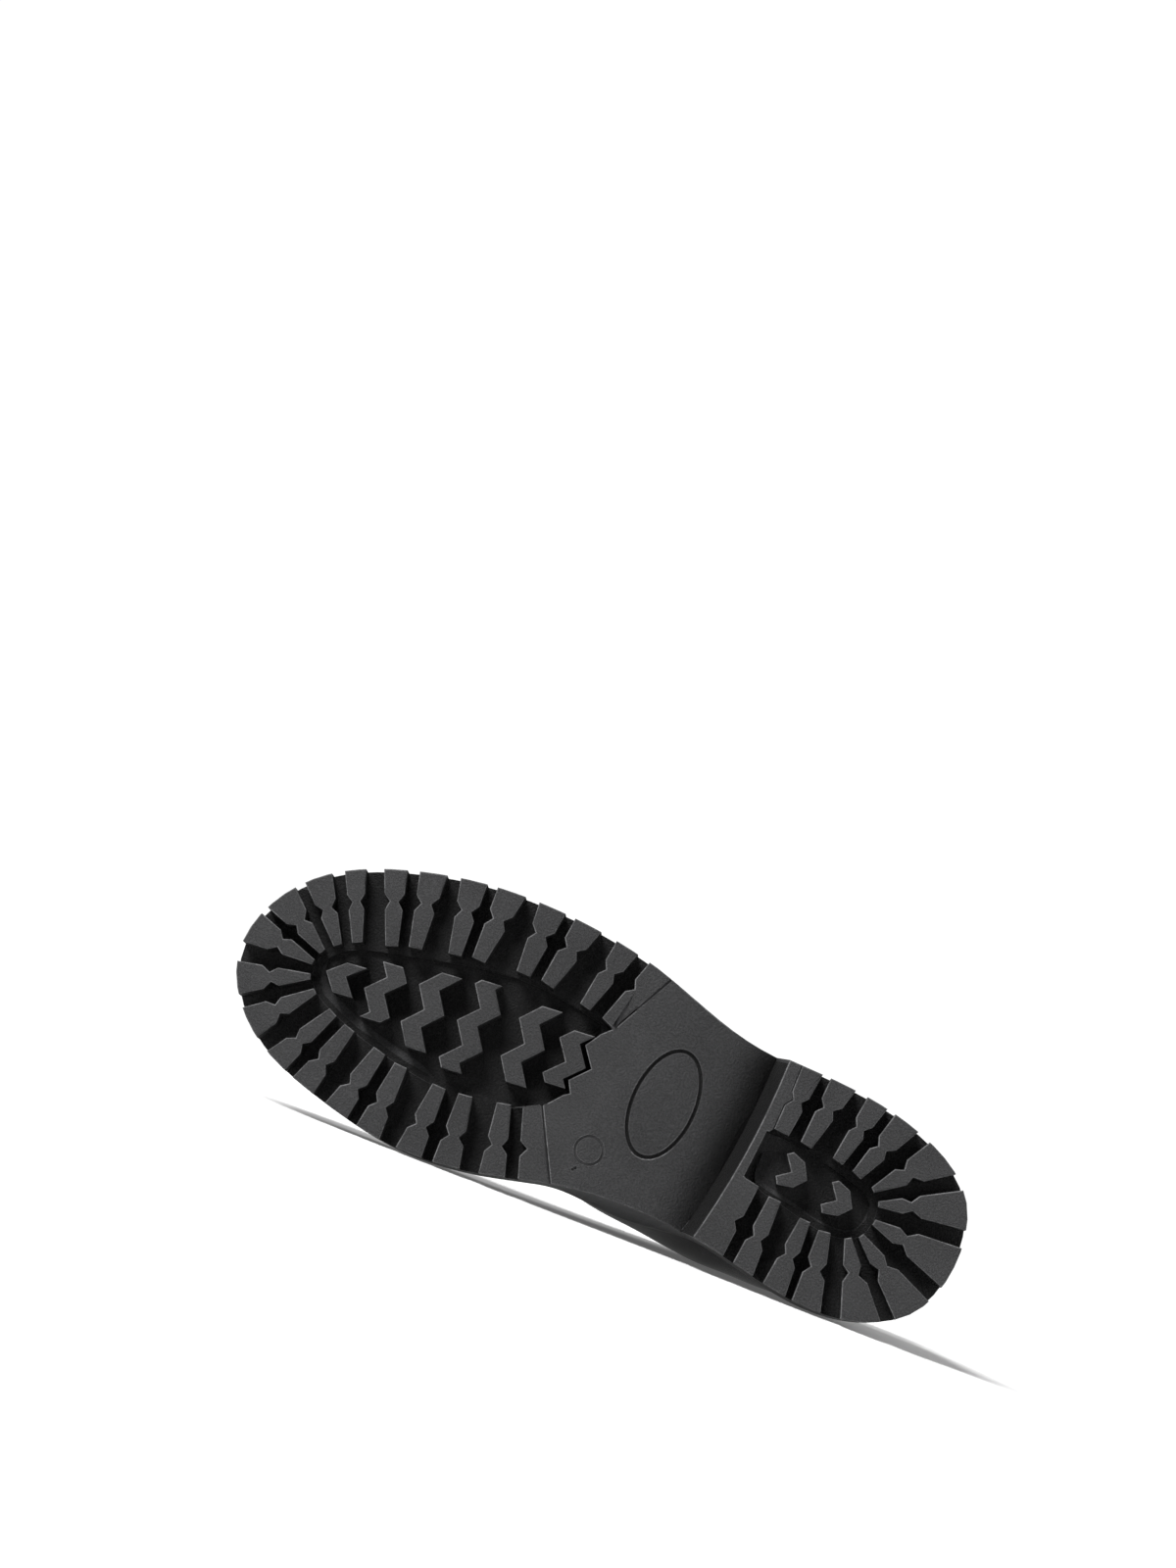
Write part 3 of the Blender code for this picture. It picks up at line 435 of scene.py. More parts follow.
class Graph:
    """The nodes of one material or world, with coordinates in the boot's millimetres."""

    def __init__(self, owner: bpy.types.ID, place: Matrix) -> None:
        """Starts with no nodes.

        Args:
            owner: the new material or world.
            place: from the boot's millimetres to the row's metres.
        """
        self.owner = owner
        self.owner.use_nodes = True
        self.tree = self.owner.node_tree
        self.tree.nodes.clear()
        self.place = place

    def node(
        self, kind: str, settings: dict[str, Any] | None = None, values: dict[Any, Any] | None = None
    ) -> Flow:
        """Adds a node.

        Args:
            kind: the node's type.
            settings: its own properties, such as a Math node's operation, set first.
            values: numbers, colours or flows for its sockets, by name or number.

        Returns:
            The flow from its first output.
        """
        made = self.tree.nodes.new(kind)
        for key, value in (settings or {}).items():
            setattr(made, key, value)
        for key, value in (values or {}).items():
            if isinstance(value, Flow):
                self.tree.links.new(value.socket, made.inputs[key])
            else:
                made.inputs[key].default_value = value
        return Flow(self, made.outputs[0] if made.outputs else None)

    def math(self, operation: str, *values: Any) -> Flow:
        """A Math node on these values."""
        return self.node("ShaderNodeMath", {"operation": operation}, dict(enumerate(values)))

    def boot(self, stretch: Point = (1.0, 1.0, 1.0)) -> Flow:
        """Coordinates in the boot's millimetres, stretched along its axes.

        Args:
            stretch: a factor for each axis.

        Returns:
            The coordinates.
        """
        objects = self.node("ShaderNodeTexCoord").out("Object")
        location, turn, scale = self.place.inverted().decompose()
        values = {"Vector": objects, "Location": location, "Rotation": turn.to_euler(), "Scale": scale}
        laid = self.node("ShaderNodeMapping", {"vector_type": "POINT"}, values)
        if tuple(stretch) == (1.0, 1.0, 1.0):
            return laid
        return self.node("ShaderNodeVectorMath", {"operation": "MULTIPLY"}, {0: laid, 1: stretch})

    def axes(self) -> tuple[Flow, Flow, Flow]:
        """x, y and z in the boot's millimetres."""
        split = self.node("ShaderNodeSeparateXYZ", {}, {0: self.boot()})
        return split.out("X"), split.out("Y"), split.out("Z")

    def noise(self, at: Flow, size: float, detail: float = 2.0, rough: float = 0.5) -> Flow:
        """Noise from 0 to 1 whose lumps are this many millimetres across."""
        values = {"Vector": at, "Scale": 1 / size, "Detail": detail, "Roughness": rough}
        return self.node("ShaderNodeTexNoise", {"noise_dimensions": "3D"}, values)

    def cells(self, at: Flow, size: float) -> Flow:
        """Distances from the walls in a net of cells this many millimetres across."""
        settings = {"feature": "DISTANCE_TO_EDGE"}
        return self.node("ShaderNodeTexVoronoi", settings, {"Vector": at, "Scale": 1 / size})

    def attribute(self, name: str) -> Flow:
        """A number that the mesh carries."""
        made = self.node("ShaderNodeAttribute", {"attribute_name": name, "attribute_type": "GEOMETRY"})
        return made.out("Fac")

    def blend(self, share: Flow, first: Flow | Point, second: Flow | Point) -> Flow:
        """A colour this share of the way from first to second.

        Args:
            share: 0 for first, 1 for second.
            first: a colour.
            second: another.

        Returns:
            The colour.
        """
        colours = [item if isinstance(item, Flow) else (*item, 1.0) for item in (first, second)]
        mixed = self.node("ShaderNodeMix", {"data_type": "RGBA"}, {0: share, 6: colours[0], 7: colours[1]})
        return mixed.out(2)

    def bump(self, height: Flow, depth: float) -> Flow:
        """A normal from heights of 0 to 1 that stand for this depth in millimetres."""
        return self.node("ShaderNodeBump", {}, {"Height": height, "Distance": depth * MM, "Strength": 1.0})

    def shade(self, constants: dict[str, Any], **varied: Any) -> None:
        """Ends the material in its shader.

        Args:
            constants: values on the shader's own sockets.
            varied: flows for Base_Color, Roughness or Normal.
        """
        values = {**constants, **{key.replace("_", " "): value for key, value in varied.items()}}
        shader = self.node("ShaderNodeBsdfPrincipled", {}, values)
        self.node("ShaderNodeOutputMaterial", {}, {"Surface": shader})


class Finish:
    """A material with a name of its own, whose nodes each finish lays in its own way."""

    def make(self, place: Matrix) -> bpy.types.Material:
        """Builds the material.

        Args:
            place: from the boot's millimetres to the row's metres.

        Returns:
            The material.
        """
        g = Graph(bpy.data.materials.new(self.name), place)
        self.lay(g)
        return g.owner


@dataclass(frozen=True)
class TreadRubber(Finish):
    """Matt moulded rubber: pebbled on its flats, with painted shade in its grooves and pale edges from
    scuffs and painted highlights.

    Attributes:
        name: the material's name, as in every finish.
        flat: colour of the flats.
        deep: the painted shade colour of the grooves, near black.
        scuff_and_highlight: pale colour of the edges, for scuffs and painted highlights.
        grain: size of the pebbles.
        relief: their height.
        shade: reach of the painted shade in front of the breast, and how dark it is on the medial and
            lateral side.
        heel_floor: where the floor of the heel's field turns greyer along the boot, with less painted
            shade, and by how much.
    """

    name: str = "tread_rubber"
    flat: Point = (0.026, 0.026, 0.027)
    deep: Point = (0.0030, 0.0030, 0.0032)
    scuff_and_highlight: Point = (0.21, 0.21, 0.215)
    grain: float = 0.8
    relief: float = 0.3
    shade: Triple = (22.0, 0.6, 0.95)
    heel_floor: Triple = (58.0, 82.0, 0.62)

    def lay(self, g: Graph) -> None:
        """Lays the nodes on the boot's coordinates.

        Args:
            g: the material's graph.
        """
        at = g.boot()
        along, across, height = g.axes()
        fine = g.noise(at, self.grain, 2.0, 0.6)
        pebble = fine.step(0.32, 0.68)
        broad = g.noise(at, 26.0, 2.0, 0.5)
        # painted shade: the deeper a corner lies, the nearer its colour comes to deep
        depth = g.attribute("depth").step(0.15, 1.5)
        edge = g.attribute("edge")
        dust = pebble * 0.6 + broad * 0.8 - 0.2
        # less painted shade on the floor of the heel's field towards its front
        start, end, share = self.heel_floor
        floor = along.step(start, end) * along.step(88.0, 86.0) * height.step(9.2, 9.8)
        depth = depth * (1 - share * floor)
        # painted shade on the waist in front of the heel's breast, darker on the lateral side
        foot, turn, bow = BREAST
        beyond = along - (foot + turn * across + bow * (across * across))
        reach, medial, lateral = self.shade
        strength = medial + (lateral - medial) * across.step(-34.0, 2.0)
        painted_breast_shade = beyond.step(-0.6, 0.4) * beyond.step(reach, 3.0) * height.step(0.4, 2.0) * strength
        flat = g.blend(dust, tone(self.flat, 0.55), tone(self.flat, 1.42))
        flat = g.blend(painted_breast_shade, flat, tone(self.flat, 0.12))
        # pale edges: scuffs, and painted highlights on rims that face the light and along the lugs' feet
        wear_and_highlight = edge.step(0.0, 0.9) * (0.45 + 0.55 * g.noise(at, 5.0, 2.0).step(0.38, 0.62))
        sunk = g.blend(depth, flat, self.deep)
        colour = g.blend(wear_and_highlight * (0.72 - 0.2 * depth), sunk, self.scuff_and_highlight)
        rough = 0.58 + 0.14 * (pebble - 0.5) - 0.2 * edge + 0.16 * depth + 0.3 * painted_breast_shade
        normal = g.bump(pebble + 0.3 * g.noise(at, 0.3, 1.0), self.relief)
        g.shade({"Specular IOR Level": 0.26}, Base_Color=colour, Roughness=rough, Normal=normal)


@dataclass(frozen=True)
class SoleSide(Finish):
    """The sole's trimmed and blacked side, with the fine level lines that buffing leaves."""

    name: str = "sole_side"
    colour: Point = (0.014, 0.014, 0.015)
    rough: float = 0.40
    line: float = 0.42
    relief: float = 0.05

    def lay(self, g: Graph) -> None:
        """Lays the nodes on the boot's coordinates.

        Args:
            g: the material's graph.
        """
        lines = g.noise(g.boot((0.045, 0.045, 1.0)), self.line, 3.0, 0.6)
        broad = g.noise(g.boot(), 14.0, 2.0)
        dust = (lines - 0.5) * 0.8 + (broad - 0.5) * 0.4 + 0.5
        colour = g.blend(dust, tone(self.colour, 0.75), tone(self.colour, 1.9))
        rough = self.rough + 0.35 * (lines - 0.5) + 0.15 * (broad - 0.5)
        normal = g.bump(lines, self.relief)
        g.shade({"Specular IOR Level": 0.5}, Base_Color=colour, Roughness=rough, Normal=normal)


@dataclass(frozen=True)
class Leather(Finish):
    """Dyed leather with a fine pore grain.

    Attributes:
        colour: the dye.
        rough: its mean roughness.
        polish: weight of the clear coat over it.
        grain: size of the pores' net.
        relief: height of the grain.
        fleck: how much the dye varies.
        specular: strength of its own shine.
        coat_rough: roughness of the clear coat.
        coat_ior: how strongly the coat bends light.
    """

    name: str
    colour: Point
    rough: float
    polish: float = 0.0
    grain: float = 0.9
    relief: float = 0.03
    fleck: float = 0.35
    specular: float = 0.5
    coat_rough: float = 0.17
    coat_ior: float = 1.45

    def lay(self, g: Graph) -> None:
        """Lays the nodes on the boot's coordinates.

        Args:
            g: the material's graph.
        """
        at = g.boot()
        warp = g.noise(at, 4.0, 2.0)
        pores = g.cells(at, self.grain).step(0.0, 0.28)
        fine = g.noise(at, self.grain * 0.45, 3.0, 0.6)
        broad = g.noise(at, 30.0, 3.0, 0.5)
        dust = (broad - 0.5) * 1.2 + (fine - 0.5) * 0.5 + 0.5
        colour = g.blend(dust, tone(self.colour, 1 - self.fleck), tone(self.colour, 1 + self.fleck))
        rough = self.rough + 0.22 * (broad - 0.5) + 0.12 * (fine - 0.5) + 0.05 * (warp - 0.5)
        height = pores * 0.7 + fine * 0.5 + warp * 0.8
        constants = {
            "Specular IOR Level": self.specular,
            "Coat Weight": self.polish,
            "Coat Roughness": self.coat_rough,
            "Coat IOR": self.coat_ior,
        }
        normal = g.bump(height, self.relief)
        g.shade(constants, Base_Color=colour, Roughness=rough, Normal=normal)


@dataclass(frozen=True)
class Thread(Finish):
    """Waxed twisted thread."""

    name: str = "thread"
    colour: Point = (0.02, 0.02, 0.021)
    twist: float = 0.42
    relief: float = 0.08

    def lay(self, g: Graph) -> None:
        """Lays the nodes on the boot's coordinates.

        Args:
            g: the material's graph.
        """
        twist = g.noise(g.boot(), self.twist, 1.0)
        colour = g.blend(twist, tone(self.colour, 0.7), tone(self.colour, 1.5))
        rough = 0.5 + 0.3 * (twist - 0.5)
        g.shade({}, Base_Color=colour, Roughness=rough, Normal=g.bump(twist, self.relief))


@dataclass(frozen=True)
class Enamel(Finish):
    """Black enamelled brass, rubbed paler in small random patches."""

    name: str = "black_enamel"
    colour: Point = (0.012, 0.012, 0.013)
    rubbed: Point = (0.06, 0.06, 0.062)
    relief: float = 0.02

    def lay(self, g: Graph) -> None:
        """Lays the nodes on the boot's coordinates.

        Args:
            g: the material's graph.
        """
        paleness = g.noise(g.boot(), 0.9, 3.0, 0.6)
        colour = g.blend(paleness.step(0.55, 0.8), self.colour, self.rubbed)
        rough = 0.26 + 0.25 * (paleness - 0.5)
        normal = g.bump(paleness, self.relief)
        g.shade({"Metallic": 0.75}, Base_Color=colour, Roughness=rough, Normal=normal)


@dataclass(frozen=True)
class Weave(Finish):
    """A flat braided lace whose strands cross on both slants, read from the lace's own UV map.

    Attributes:
        colour: the yarn.
        strand: from one strand to the next, in millimetres.
        around: how many millimetres the UV map's width stands for.
        relief: height of the strands.
    """

    name: str = "lace_weave"
    colour: Point = (0.017, 0.017, 0.018)
    strand: float = 0.8
    around: float = 12.0
    relief: float = 0.22

    def lay(self, g: Graph) -> None:
        """Lays the nodes on the lace's UV map.

        Args:
            g: the material's graph.
        """
        split = g.node("ShaderNodeSeparateXYZ", {}, {0: g.node("ShaderNodeUVMap", {"uv_map": "UVMap"})})
        across, along = split.out("X") * self.around, split.out("Y")
        turn = 2 * math.pi / self.strand
        first = ((along + across) * (turn / 2)).math("SINE")
        second = ((along - across) * (turn / 2)).math("SINE")
        height = (first * second) * 0.5 + 0.5
        colour = g.blend(height, tone(self.colour, 0.45), tone(self.colour, 1.7))
        fuzz = g.noise(g.boot(), 0.3, 2.0)
        rough = 0.78 + 0.2 * (fuzz - 0.5)
        constants = {"Specular IOR Level": 0.3, "Sheen Weight": 0.25, "Sheen Roughness": 0.5}
        normal = g.bump(height + 0.4 * fuzz, self.relief)
        g.shade(constants, Base_Color=colour, Roughness=rough, Normal=normal)


@dataclass(frozen=True)
class Paper(Finish):
    """The seamless floor, lit from below as well, which fades out far from the boot.

    Attributes:
        colour: the paper.
        glow: strength of the light it gives itself.
        fade: how far from the middle it starts to fade and is gone, in metres.
    """

    name: str = "seamless_paper"
    colour: Point = (0.88, 0.88, 0.88)
    glow: float = 0.1
    fade: Pair = (0.55, 1.6)

    def lay(self, g: Graph) -> None:
        """Lays the nodes on the floor's own coordinates, in metres.

        Args:
            g: the material's graph.
        """
        objects = g.node("ShaderNodeTexCoord").out("Object")
        tooth = g.noise(objects, 0.004, 2.0)
        tint = g.blend(tooth, tone(self.colour, 0.985), self.colour)
        values = {"Base Color": tint, "Roughness": 0.9, "Specular IOR Level": 0.0}
        values |= {"Emission Color": WHITE, "Emission Strength": self.glow}
        matt = g.node("ShaderNodeBsdfPrincipled", {}, values)
        clear = g.node("ShaderNodeBsdfTransparent")
        away = g.node("ShaderNodeVectorMath", {"operation": "LENGTH"}, {0: objects}).out("Value")
        faded = g.node("ShaderNodeMixShader", {}, {0: away.step(*self.fade), 1: matt, 2: clear})
        g.node("ShaderNodeOutputMaterial", {}, {"Surface": faded})


# ---- the sole -----------------------------------------------------------------------------------


class EdgePoint(NamedTuple):
    """A point of the sole's edge, seen from below."""

    spot: str
    x: float
    y: float


SOLE_EDGE = (
    EdgePoint("heel back", 0, -3),
    EdgePoint("heel corner, medial", 7.5, -26),
    EdgePoint("heel, medial", 34, -39.8),
    EdgePoint("breast, medial", 88, -36.2),
    EdgePoint("waist, medial", 112, -35.4),
    EdgePoint("waist front, medial", 148, -40.2),
    EdgePoint("ball rear, medial", 178, -49.3),
    EdgePoint("ball, medial", 211, -54.6),
    EdgePoint("ball front, medial", 250, -50.2),
    EdgePoint("big toe", 281.6, -39.3),
    EdgePoint("toe tip", 303.3, -12.3),
    EdgePoint("toe corner, lateral", 292.8, 21.8),
    EdgePoint("little toe", 257.4, 43.9),
    EdgePoint("ball front, lateral", 225.2, 52.5),
    EdgePoint("ball, lateral", 188, 55.2),
    EdgePoint("ball rear, lateral", 149.9, 51.3),
    EdgePoint("waist, lateral", 106, 41.9),
    EdgePoint("breast, lateral", 75, 41.8),
    EdgePoint("heel, lateral", 31.8, 37.3),
    EdgePoint("heel corner, lateral", 7, 23),
)


class Loop:
    """A closed, evenly curved plan line, measured along its length."""

    SPAN_STEPS = 40  # points from one knot to the next
    STRETCH = 1.5  # how far to either side the normal is read

    def __init__(self, knots: Sequence[Point]) -> None:
        """Runs a closed cubic spline through the knots.

        Args:
            knots: plan points, once round.
        """
        self.points = self._through(np.array(knots, float))
        steps = np.linalg.norm(np.roll(self.points, -1, 0) - self.points, axis=1)
        self.length = float(steps.sum())
        self.places = np.append(0, np.cumsum(steps))
        self.closed = np.vstack([self.points, self.points[:1]])

    def _through(self, knots: np.ndarray) -> np.ndarray:
        """Points on the closed cubic spline through the knots.

        Args:
            knots: plan points, once round.

        Returns:
            The points, evenly many to a span.
        """
        count = len(knots)
        spans = np.linalg.norm(np.roll(knots, -1, 0) - knots, axis=1)
        matrix = np.zeros((count, count))
        right = np.zeros((count, 2))
        for i in range(count):
            before, after = spans[i - 1], spans[i]
            following = (i + 1) % count
            matrix[i, i - 1] = after
            matrix[i, i] = 2 * (before + after)
            matrix[i, following] = before
            into = (knots[i] - knots[i - 1]) * after / before
            out = (knots[following] - knots[i]) * before / after
            right[i] = 3 * (into + out)
        slopes = np.linalg.solve(matrix, right)
        t = np.arange(self.SPAN_STEPS)[:, None] / self.SPAN_STEPS
        stretches = []
        for i in range(count):
            following = (i + 1) % count
            ends, turns = (knots[i], knots[following]), (slopes[i], slopes[following])
            stretches.append(curve(t, spans[i], ends, turns))
        return np.concatenate(stretches)

    def _point(self, place: float) -> np.ndarray:
        """The point this far round.

        Args:
            place: how far round.

        Returns:
            The point.
        """
        place = place % self.length
        x = np.interp(place, self.places, self.closed[:, 0])
        y = np.interp(place, self.places, self.closed[:, 1])
        return np.array([x, y])

    def outward(self, place: float) -> np.ndarray:
        """The unit normal that points out of the loop, read over a short stretch."""
        dx, dy = self._point(place + self.STRETCH) - self._point(place - self.STRETCH)
        return np.array([dy, -dx]) / math.hypot(dx, dy)

    def at(self, place: float, inset: float = 0.0) -> np.ndarray:
        """The point this far round, moved in by inset."""
        point = self._point(place)
        return point - inset * self.outward(place) if inset else point

    def nearest(self, x: float, y: float) -> tuple[float, np.ndarray]:
        """How far inside the line a plan point lies, and which way is out there.

        Args:
            x: its x.
            y: its y.

        Returns:
            How far inside, 0 beyond the line, and the unit vector out.
        """
        gaps = np.hypot(self.points[:, 0] - x, self.points[:, 1] - y)
        number = int(gaps.argmin())
        out = self.outward(float(self.places[number]))
        beyond = (np.array([x, y]) - self.points[number]) @ out
        return (0.0 if beyond > 0 else float(gaps[number])), out


@dataclass(frozen=True)
class SoleShape:
    """Heights and edge that the pieces of the sole share.

    Attributes:
        outsole: thickness of the rubber under the ball.
        midsole: thickness of the layer over it.
        welt: thickness of the welt.
        gap: between one layer and the next.
        heel_rise: how much thicker the rubber is under the heel.
        heel_front: x where that rise starts and ends.
        spring_start: x where the toe starts to curl up.
        toe_spring: how high its tip stands.
        toe_x: x of the tip.
        flare: how far the top of the sole stands out under the arch.
        flare_reach: x where that starts and ends.
        lug_depth: height of the lugs over the grooves.
        field_depth: depth of the sunk fields.
        arch: x and height of the waist's underside.
        edge: the sole's edge, seen from below.
    """

    outsole: float = 20.0
    midsole: float = 3.2
    welt: float = 3.0
    gap: float = 0.3
    heel_rise: float = 11.0
    heel_front: Pair = (70.0, 165.0)
    spring_start: float = 205.0
    toe_spring: float = 12.3
    toe_x: float = 303.0
    flare: float = 4.6
    flare_reach: Pair = (88.0, 158.0)
    lug_depth: float = 8.6
    field_depth: float = 10.4
    arch: tuple[Point, ...] = (
        (94.6, 13.2),
        (104, 11.2),
        (116, 7.8),
        (128, 4.6),
        (140, 2.0),
        (151, 0.0),
    )
    edge: Loop = field(default_factory=lambda: Loop([(p.x, p.y) for p in SOLE_EDGE]))

    def flared(self, x: float, y: float) -> float:
        """y moved out with the top of the sole's medial side, under the arch."""
        share = min(max((x - self.flare_reach[0]) / (self.flare_reach[1] - self.flare_reach[0]), 0.0), 1.0)
        return y - self.flare * math.sin(math.pi * share) ** 2 * smooth(-y, 5.0, 25.0)

    def spring(self, x: float) -> float:
        """How far the toe curls up at x."""
        return self.toe_spring * (max(x - self.spring_start, 0) / (self.toe_x - self.spring_start)) ** 2

    def lift(self, x: float) -> float:
        """How far the top of the sole stands above its height at the ball."""
        return self.spring(x) + self.heel_rise * (1 - smooth(x, *self.heel_front))

    def arch_height(self, x: float) -> float:
        """How high the waist's underside stands at x."""
        return float(np.interp(x, [p[0] for p in self.arch], [p[1] for p in self.arch]))

    def tread_aim(self, x: float) -> Vector:
        """Which way the flat of the tread looks at x."""
        slope = 2 * self.toe_spring * max(x - self.spring_start, 0) / (self.toe_x - self.spring_start) ** 2
        return Vector((slope, 0.0, -1.0)).normalized()

    def arch_aim(self, x: float) -> Vector:
        """Which way the waist's underside looks at x.

        Args:
            x: where.

        Returns:
            The unit normal.
        """
        places = [p[0] for p in self.arch]
        slopes = np.gradient([p[1] for p in self.arch], places)
        slopes[-1] = 0.0
        slope = float(np.interp(x, places, slopes))
        return Vector((slope, 0.0, -1.0)).normalized()

    def feather(self, x: float) -> float:
        """Where the foot of the upper and the welt stand."""
        return self.outsole + self.gap + self.midsole + self.gap + self.lift(x)

    def band(self, profile: Callable[[float], Sequence[Pair]], count: int) -> list[Section]:
        """Sections all the way round the edge.

        Args:
            profile: gives (inset, height) pairs at a place.
            count: how many sections.

        Returns:
            The sections, closed loops of points.
        """
        sections = []
        for i in range(count):
            place = self.edge.length * i / count
            out = self.edge.outward(place)
            x0, y0 = self.edge.at(place)
            section = []
            for inset, height in profile(place):
                x, y = x0 - inset * out[0], y0 - inset * out[1]
                section.append((x, self.flared(x, y), self.lift(x) + height))
            sections.append(section)
        return sections


@dataclass
class Outsole:
    """The moulded rubber unit: its lugs get soft rims, and its waist gets its grooves.

    Attributes:
        rim: width and height of the softened rims of the lugs.
        highlight_facing: the way that the rims with the most painted highlight look, towards the light.
        wear_and_highlight: how pale a rim is that looks away from there, and one that looks there: scuffs,
            and a painted highlight that grows towards there.
        fillet: size of the fillet at the lugs' feet.
        fillet_highlight: how much pale colour it gets, as a painted highlight along the lugs' feet.
        lip: the way that the oval's lip looks where it gets the most painted highlight.
        lip_wear_and_highlight: how pale the other rims on the waist are from scuffs, and how pale that lip
            is with its painted highlight.
        reach: how far from the breast's foot the waist is rounded into it.
        lean: how far the waist's shading turns there.
        waist: the two x between which depth is measured from the waist's underside.
        arch_end: x where the waist's underside ends.
        corner: x and height that tell the waist from the breast beside it.
        oval: middle, half length across the boot and half width of the groove on the waist.
        mark: middle and radius of the bare ring beside it.
        seams: the two straight grooves where the forefoot's plate ends.
        ledge: the notched line that parts the heel's first lateral lug from the ledge along the breast.
        oval_cut: width and depth of the oval's groove, as in the next three.
        mark_cut: those of the ring and the tick beside it.
        seam_cut: those of the straight grooves.
        ledge_cut: those of the notched line.
    """

    shape: SoleShape
    rim: Pair = (0.6, 0.3)
    highlight_facing: Point = (0.94, 0.33, 0.0)
    wear_and_highlight: Pair = (0.38, 1.0)
    fillet: float = 0.9
    fillet_highlight: float = 0.8
    lip: Point = (-0.33, 0.945, 0.0)
    lip_wear_and_highlight: Pair = (0.34, 1.4)
    reach: float = 22.0
    lean: Point = (-0.46, -0.36, 0.0)
    waist: Pair = (96.0, 152.0)
    arch_end: float = 151.0
    corner: Pair = (100.0, 6.0)
    oval: tuple[float, float, float, float] = (126.0, 5.4, 21.9, 12.0)
    mark: Triple = (144.2, -23.4, 5.4)
    seams: tuple[tuple[Point, Point], ...] = (
        ((143.9, 49.7), (155.8, 22.9)),
        ((152.4, -40.9), (167.8, -16.0)),
    )
    ledge: tuple[Point, ...] = ((84.3, 43.5), (83.7, 30.9), (81.9, 28.1), (84.0, 24.8), (83.8, 13.6))
    oval_cut: Pair = (1.5, 1.1)
    mark_cut: Pair = (0.9, 0.8)
    seam_cut: Pair = (0.7, 0.8)
    ledge_cut: Pair = (0.5, 0.7)

    def _groove(self, line: Sequence[Point], cut: Pair, closed: bool) -> BMesh:
        """A cutter that runs along a plan line under the sole.

        Args:
            line: plan points.
            cut: the groove's width at the surface and how deep it goes.
            closed: whether the line closes.

        Returns:
            The cutter.
        """
        width, depth = cut
        profile = ((-0.5, -0.6), (-0.5, 0.0), (-0.28, depth), (0.28, depth), (0.5, 0.0), (0.5, -0.6))
        points = np.array(line, float)
        count = len(points)
        sections = []
        for i, (x, y) in enumerate(points):
            before = points[i - 1] if closed or i > 0 else points[i]
            after = points[(i + 1) % count] if closed or i < count - 1 else points[i]
            dx, dy = (after - before) / np.linalg.norm(after - before)
            base = self.shape.arch_height(x) if x > 92.0 else self.shape.spring(x)
            section = []
            for share, height in profile:
                px, py = x - dy * width * share, y + dx * width * share
                section.append((px, py, base + height))
            sections.append(section)
        return sweep(sections, closed)

    def _ellipse(self, middle: Point, across: float, along: float, count: int) -> list[Point]:
        """Plan points round an ellipse."""
        angles = [2 * math.pi * i / count for i in range(count)]
        return [(middle[0] + along * math.cos(a), middle[1] + across * math.sin(a)) for a in angles]

    def _cutters(self) -> list[BMesh]:
        """The cutters for the oval, the ring, its tick, the straight grooves and the notched line.

        Returns:
            The cutters.
        """
        x, y, across, along = self.oval
        cutters = [self._groove(self._ellipse((x, y), across, along, 72), self.oval_cut, True)]
        x, y, radius = self.mark
        cutters.append(self._groove(self._ellipse((x, y), radius, radius, 36), self.mark_cut, True))
        tick = [(x + 1.5 + t * 1.4, y - radius - 2.6 - t * 1.6) for t in (0.0, 0.5, 1.0)]
        cutters.append(self._groove(tick, self.mark_cut, False))
        for (x0, y0), (x1, y1) in self.seams:
            run = [(mix(x0, x1, t), mix(y0, y1, t)) for t in np.linspace(-0.03, 1.0, 9)]
            cutters.append(self._groove(run, self.seam_cut, False))
        cutters.append(self._groove(self.ledge, self.ledge_cut, False))
        return cutters

    def _depth(self, face: BMFace, corner: Vector) -> float:
        """How deep in the tread's pattern a face's corner lies, 0 on its flats, waist and sides: it sets
        the depth of the painted shade.

        Args:
            face: one of the outsole's faces.
            corner: where the face's corner stands.

        Returns:
            The depth.
        """
        middle = face.calc_center_median()
        waist = self.waist[0] < middle.x < self.waist[1] and face.normal.z < -0.5
        outside = self.shape.edge.nearest(middle.x, middle.y)[0] < 1.0
        top = face.normal.z > 0.3
        if outside or top:
            return 0.0
        if waist:
            return max(0.0, 2.0 * (corner.z - self.shape.arch_height(corner.x) - 0.35))
        return max(0.0, corner.z - self.shape.spring(corner.x))

    def _level(self, face: BMFace) -> bool:
        """Whether a face is part of the tread's flats."""
        middle = face.calc_center_median()
        return face.normal.z < -0.8 and abs(middle.z - self.shape.spring(middle.x)) < 0.35

    def _arched(self, face: BMFace) -> bool:
        """Whether a face is part of the waist's underside.

        Args:
            face: one of the outsole's faces.

        Returns:
            True where it is.
        """
        middle = face.calc_center_median()
        if middle.x < self._breast(middle.y) or middle.x > self.arch_end or face.normal.z > -0.6:
            return False
        corner_x, corner_z = self.corner
        if middle.x < corner_x:
            return middle.z > corner_z
        return face.normal.z < -0.85 and abs(middle.z - self.shape.arch_height(middle.x)) < 0.9

    def _breast(self, y: float) -> float:
        """Where the heel's breast meets the waist."""
        foot, turn, bow = BREAST
        return foot + turn * y + bow * y * y

    def _hollow(self, x: float, y: float) -> float:
        """How much the waist turns away from the light beside the breast, most on the lateral side."""
        near = 1 - smooth(x - self._breast(y), 4.0, self.reach)
        return near * mix(0.45, 1.0, smooth(y, -34.0, 2.0))

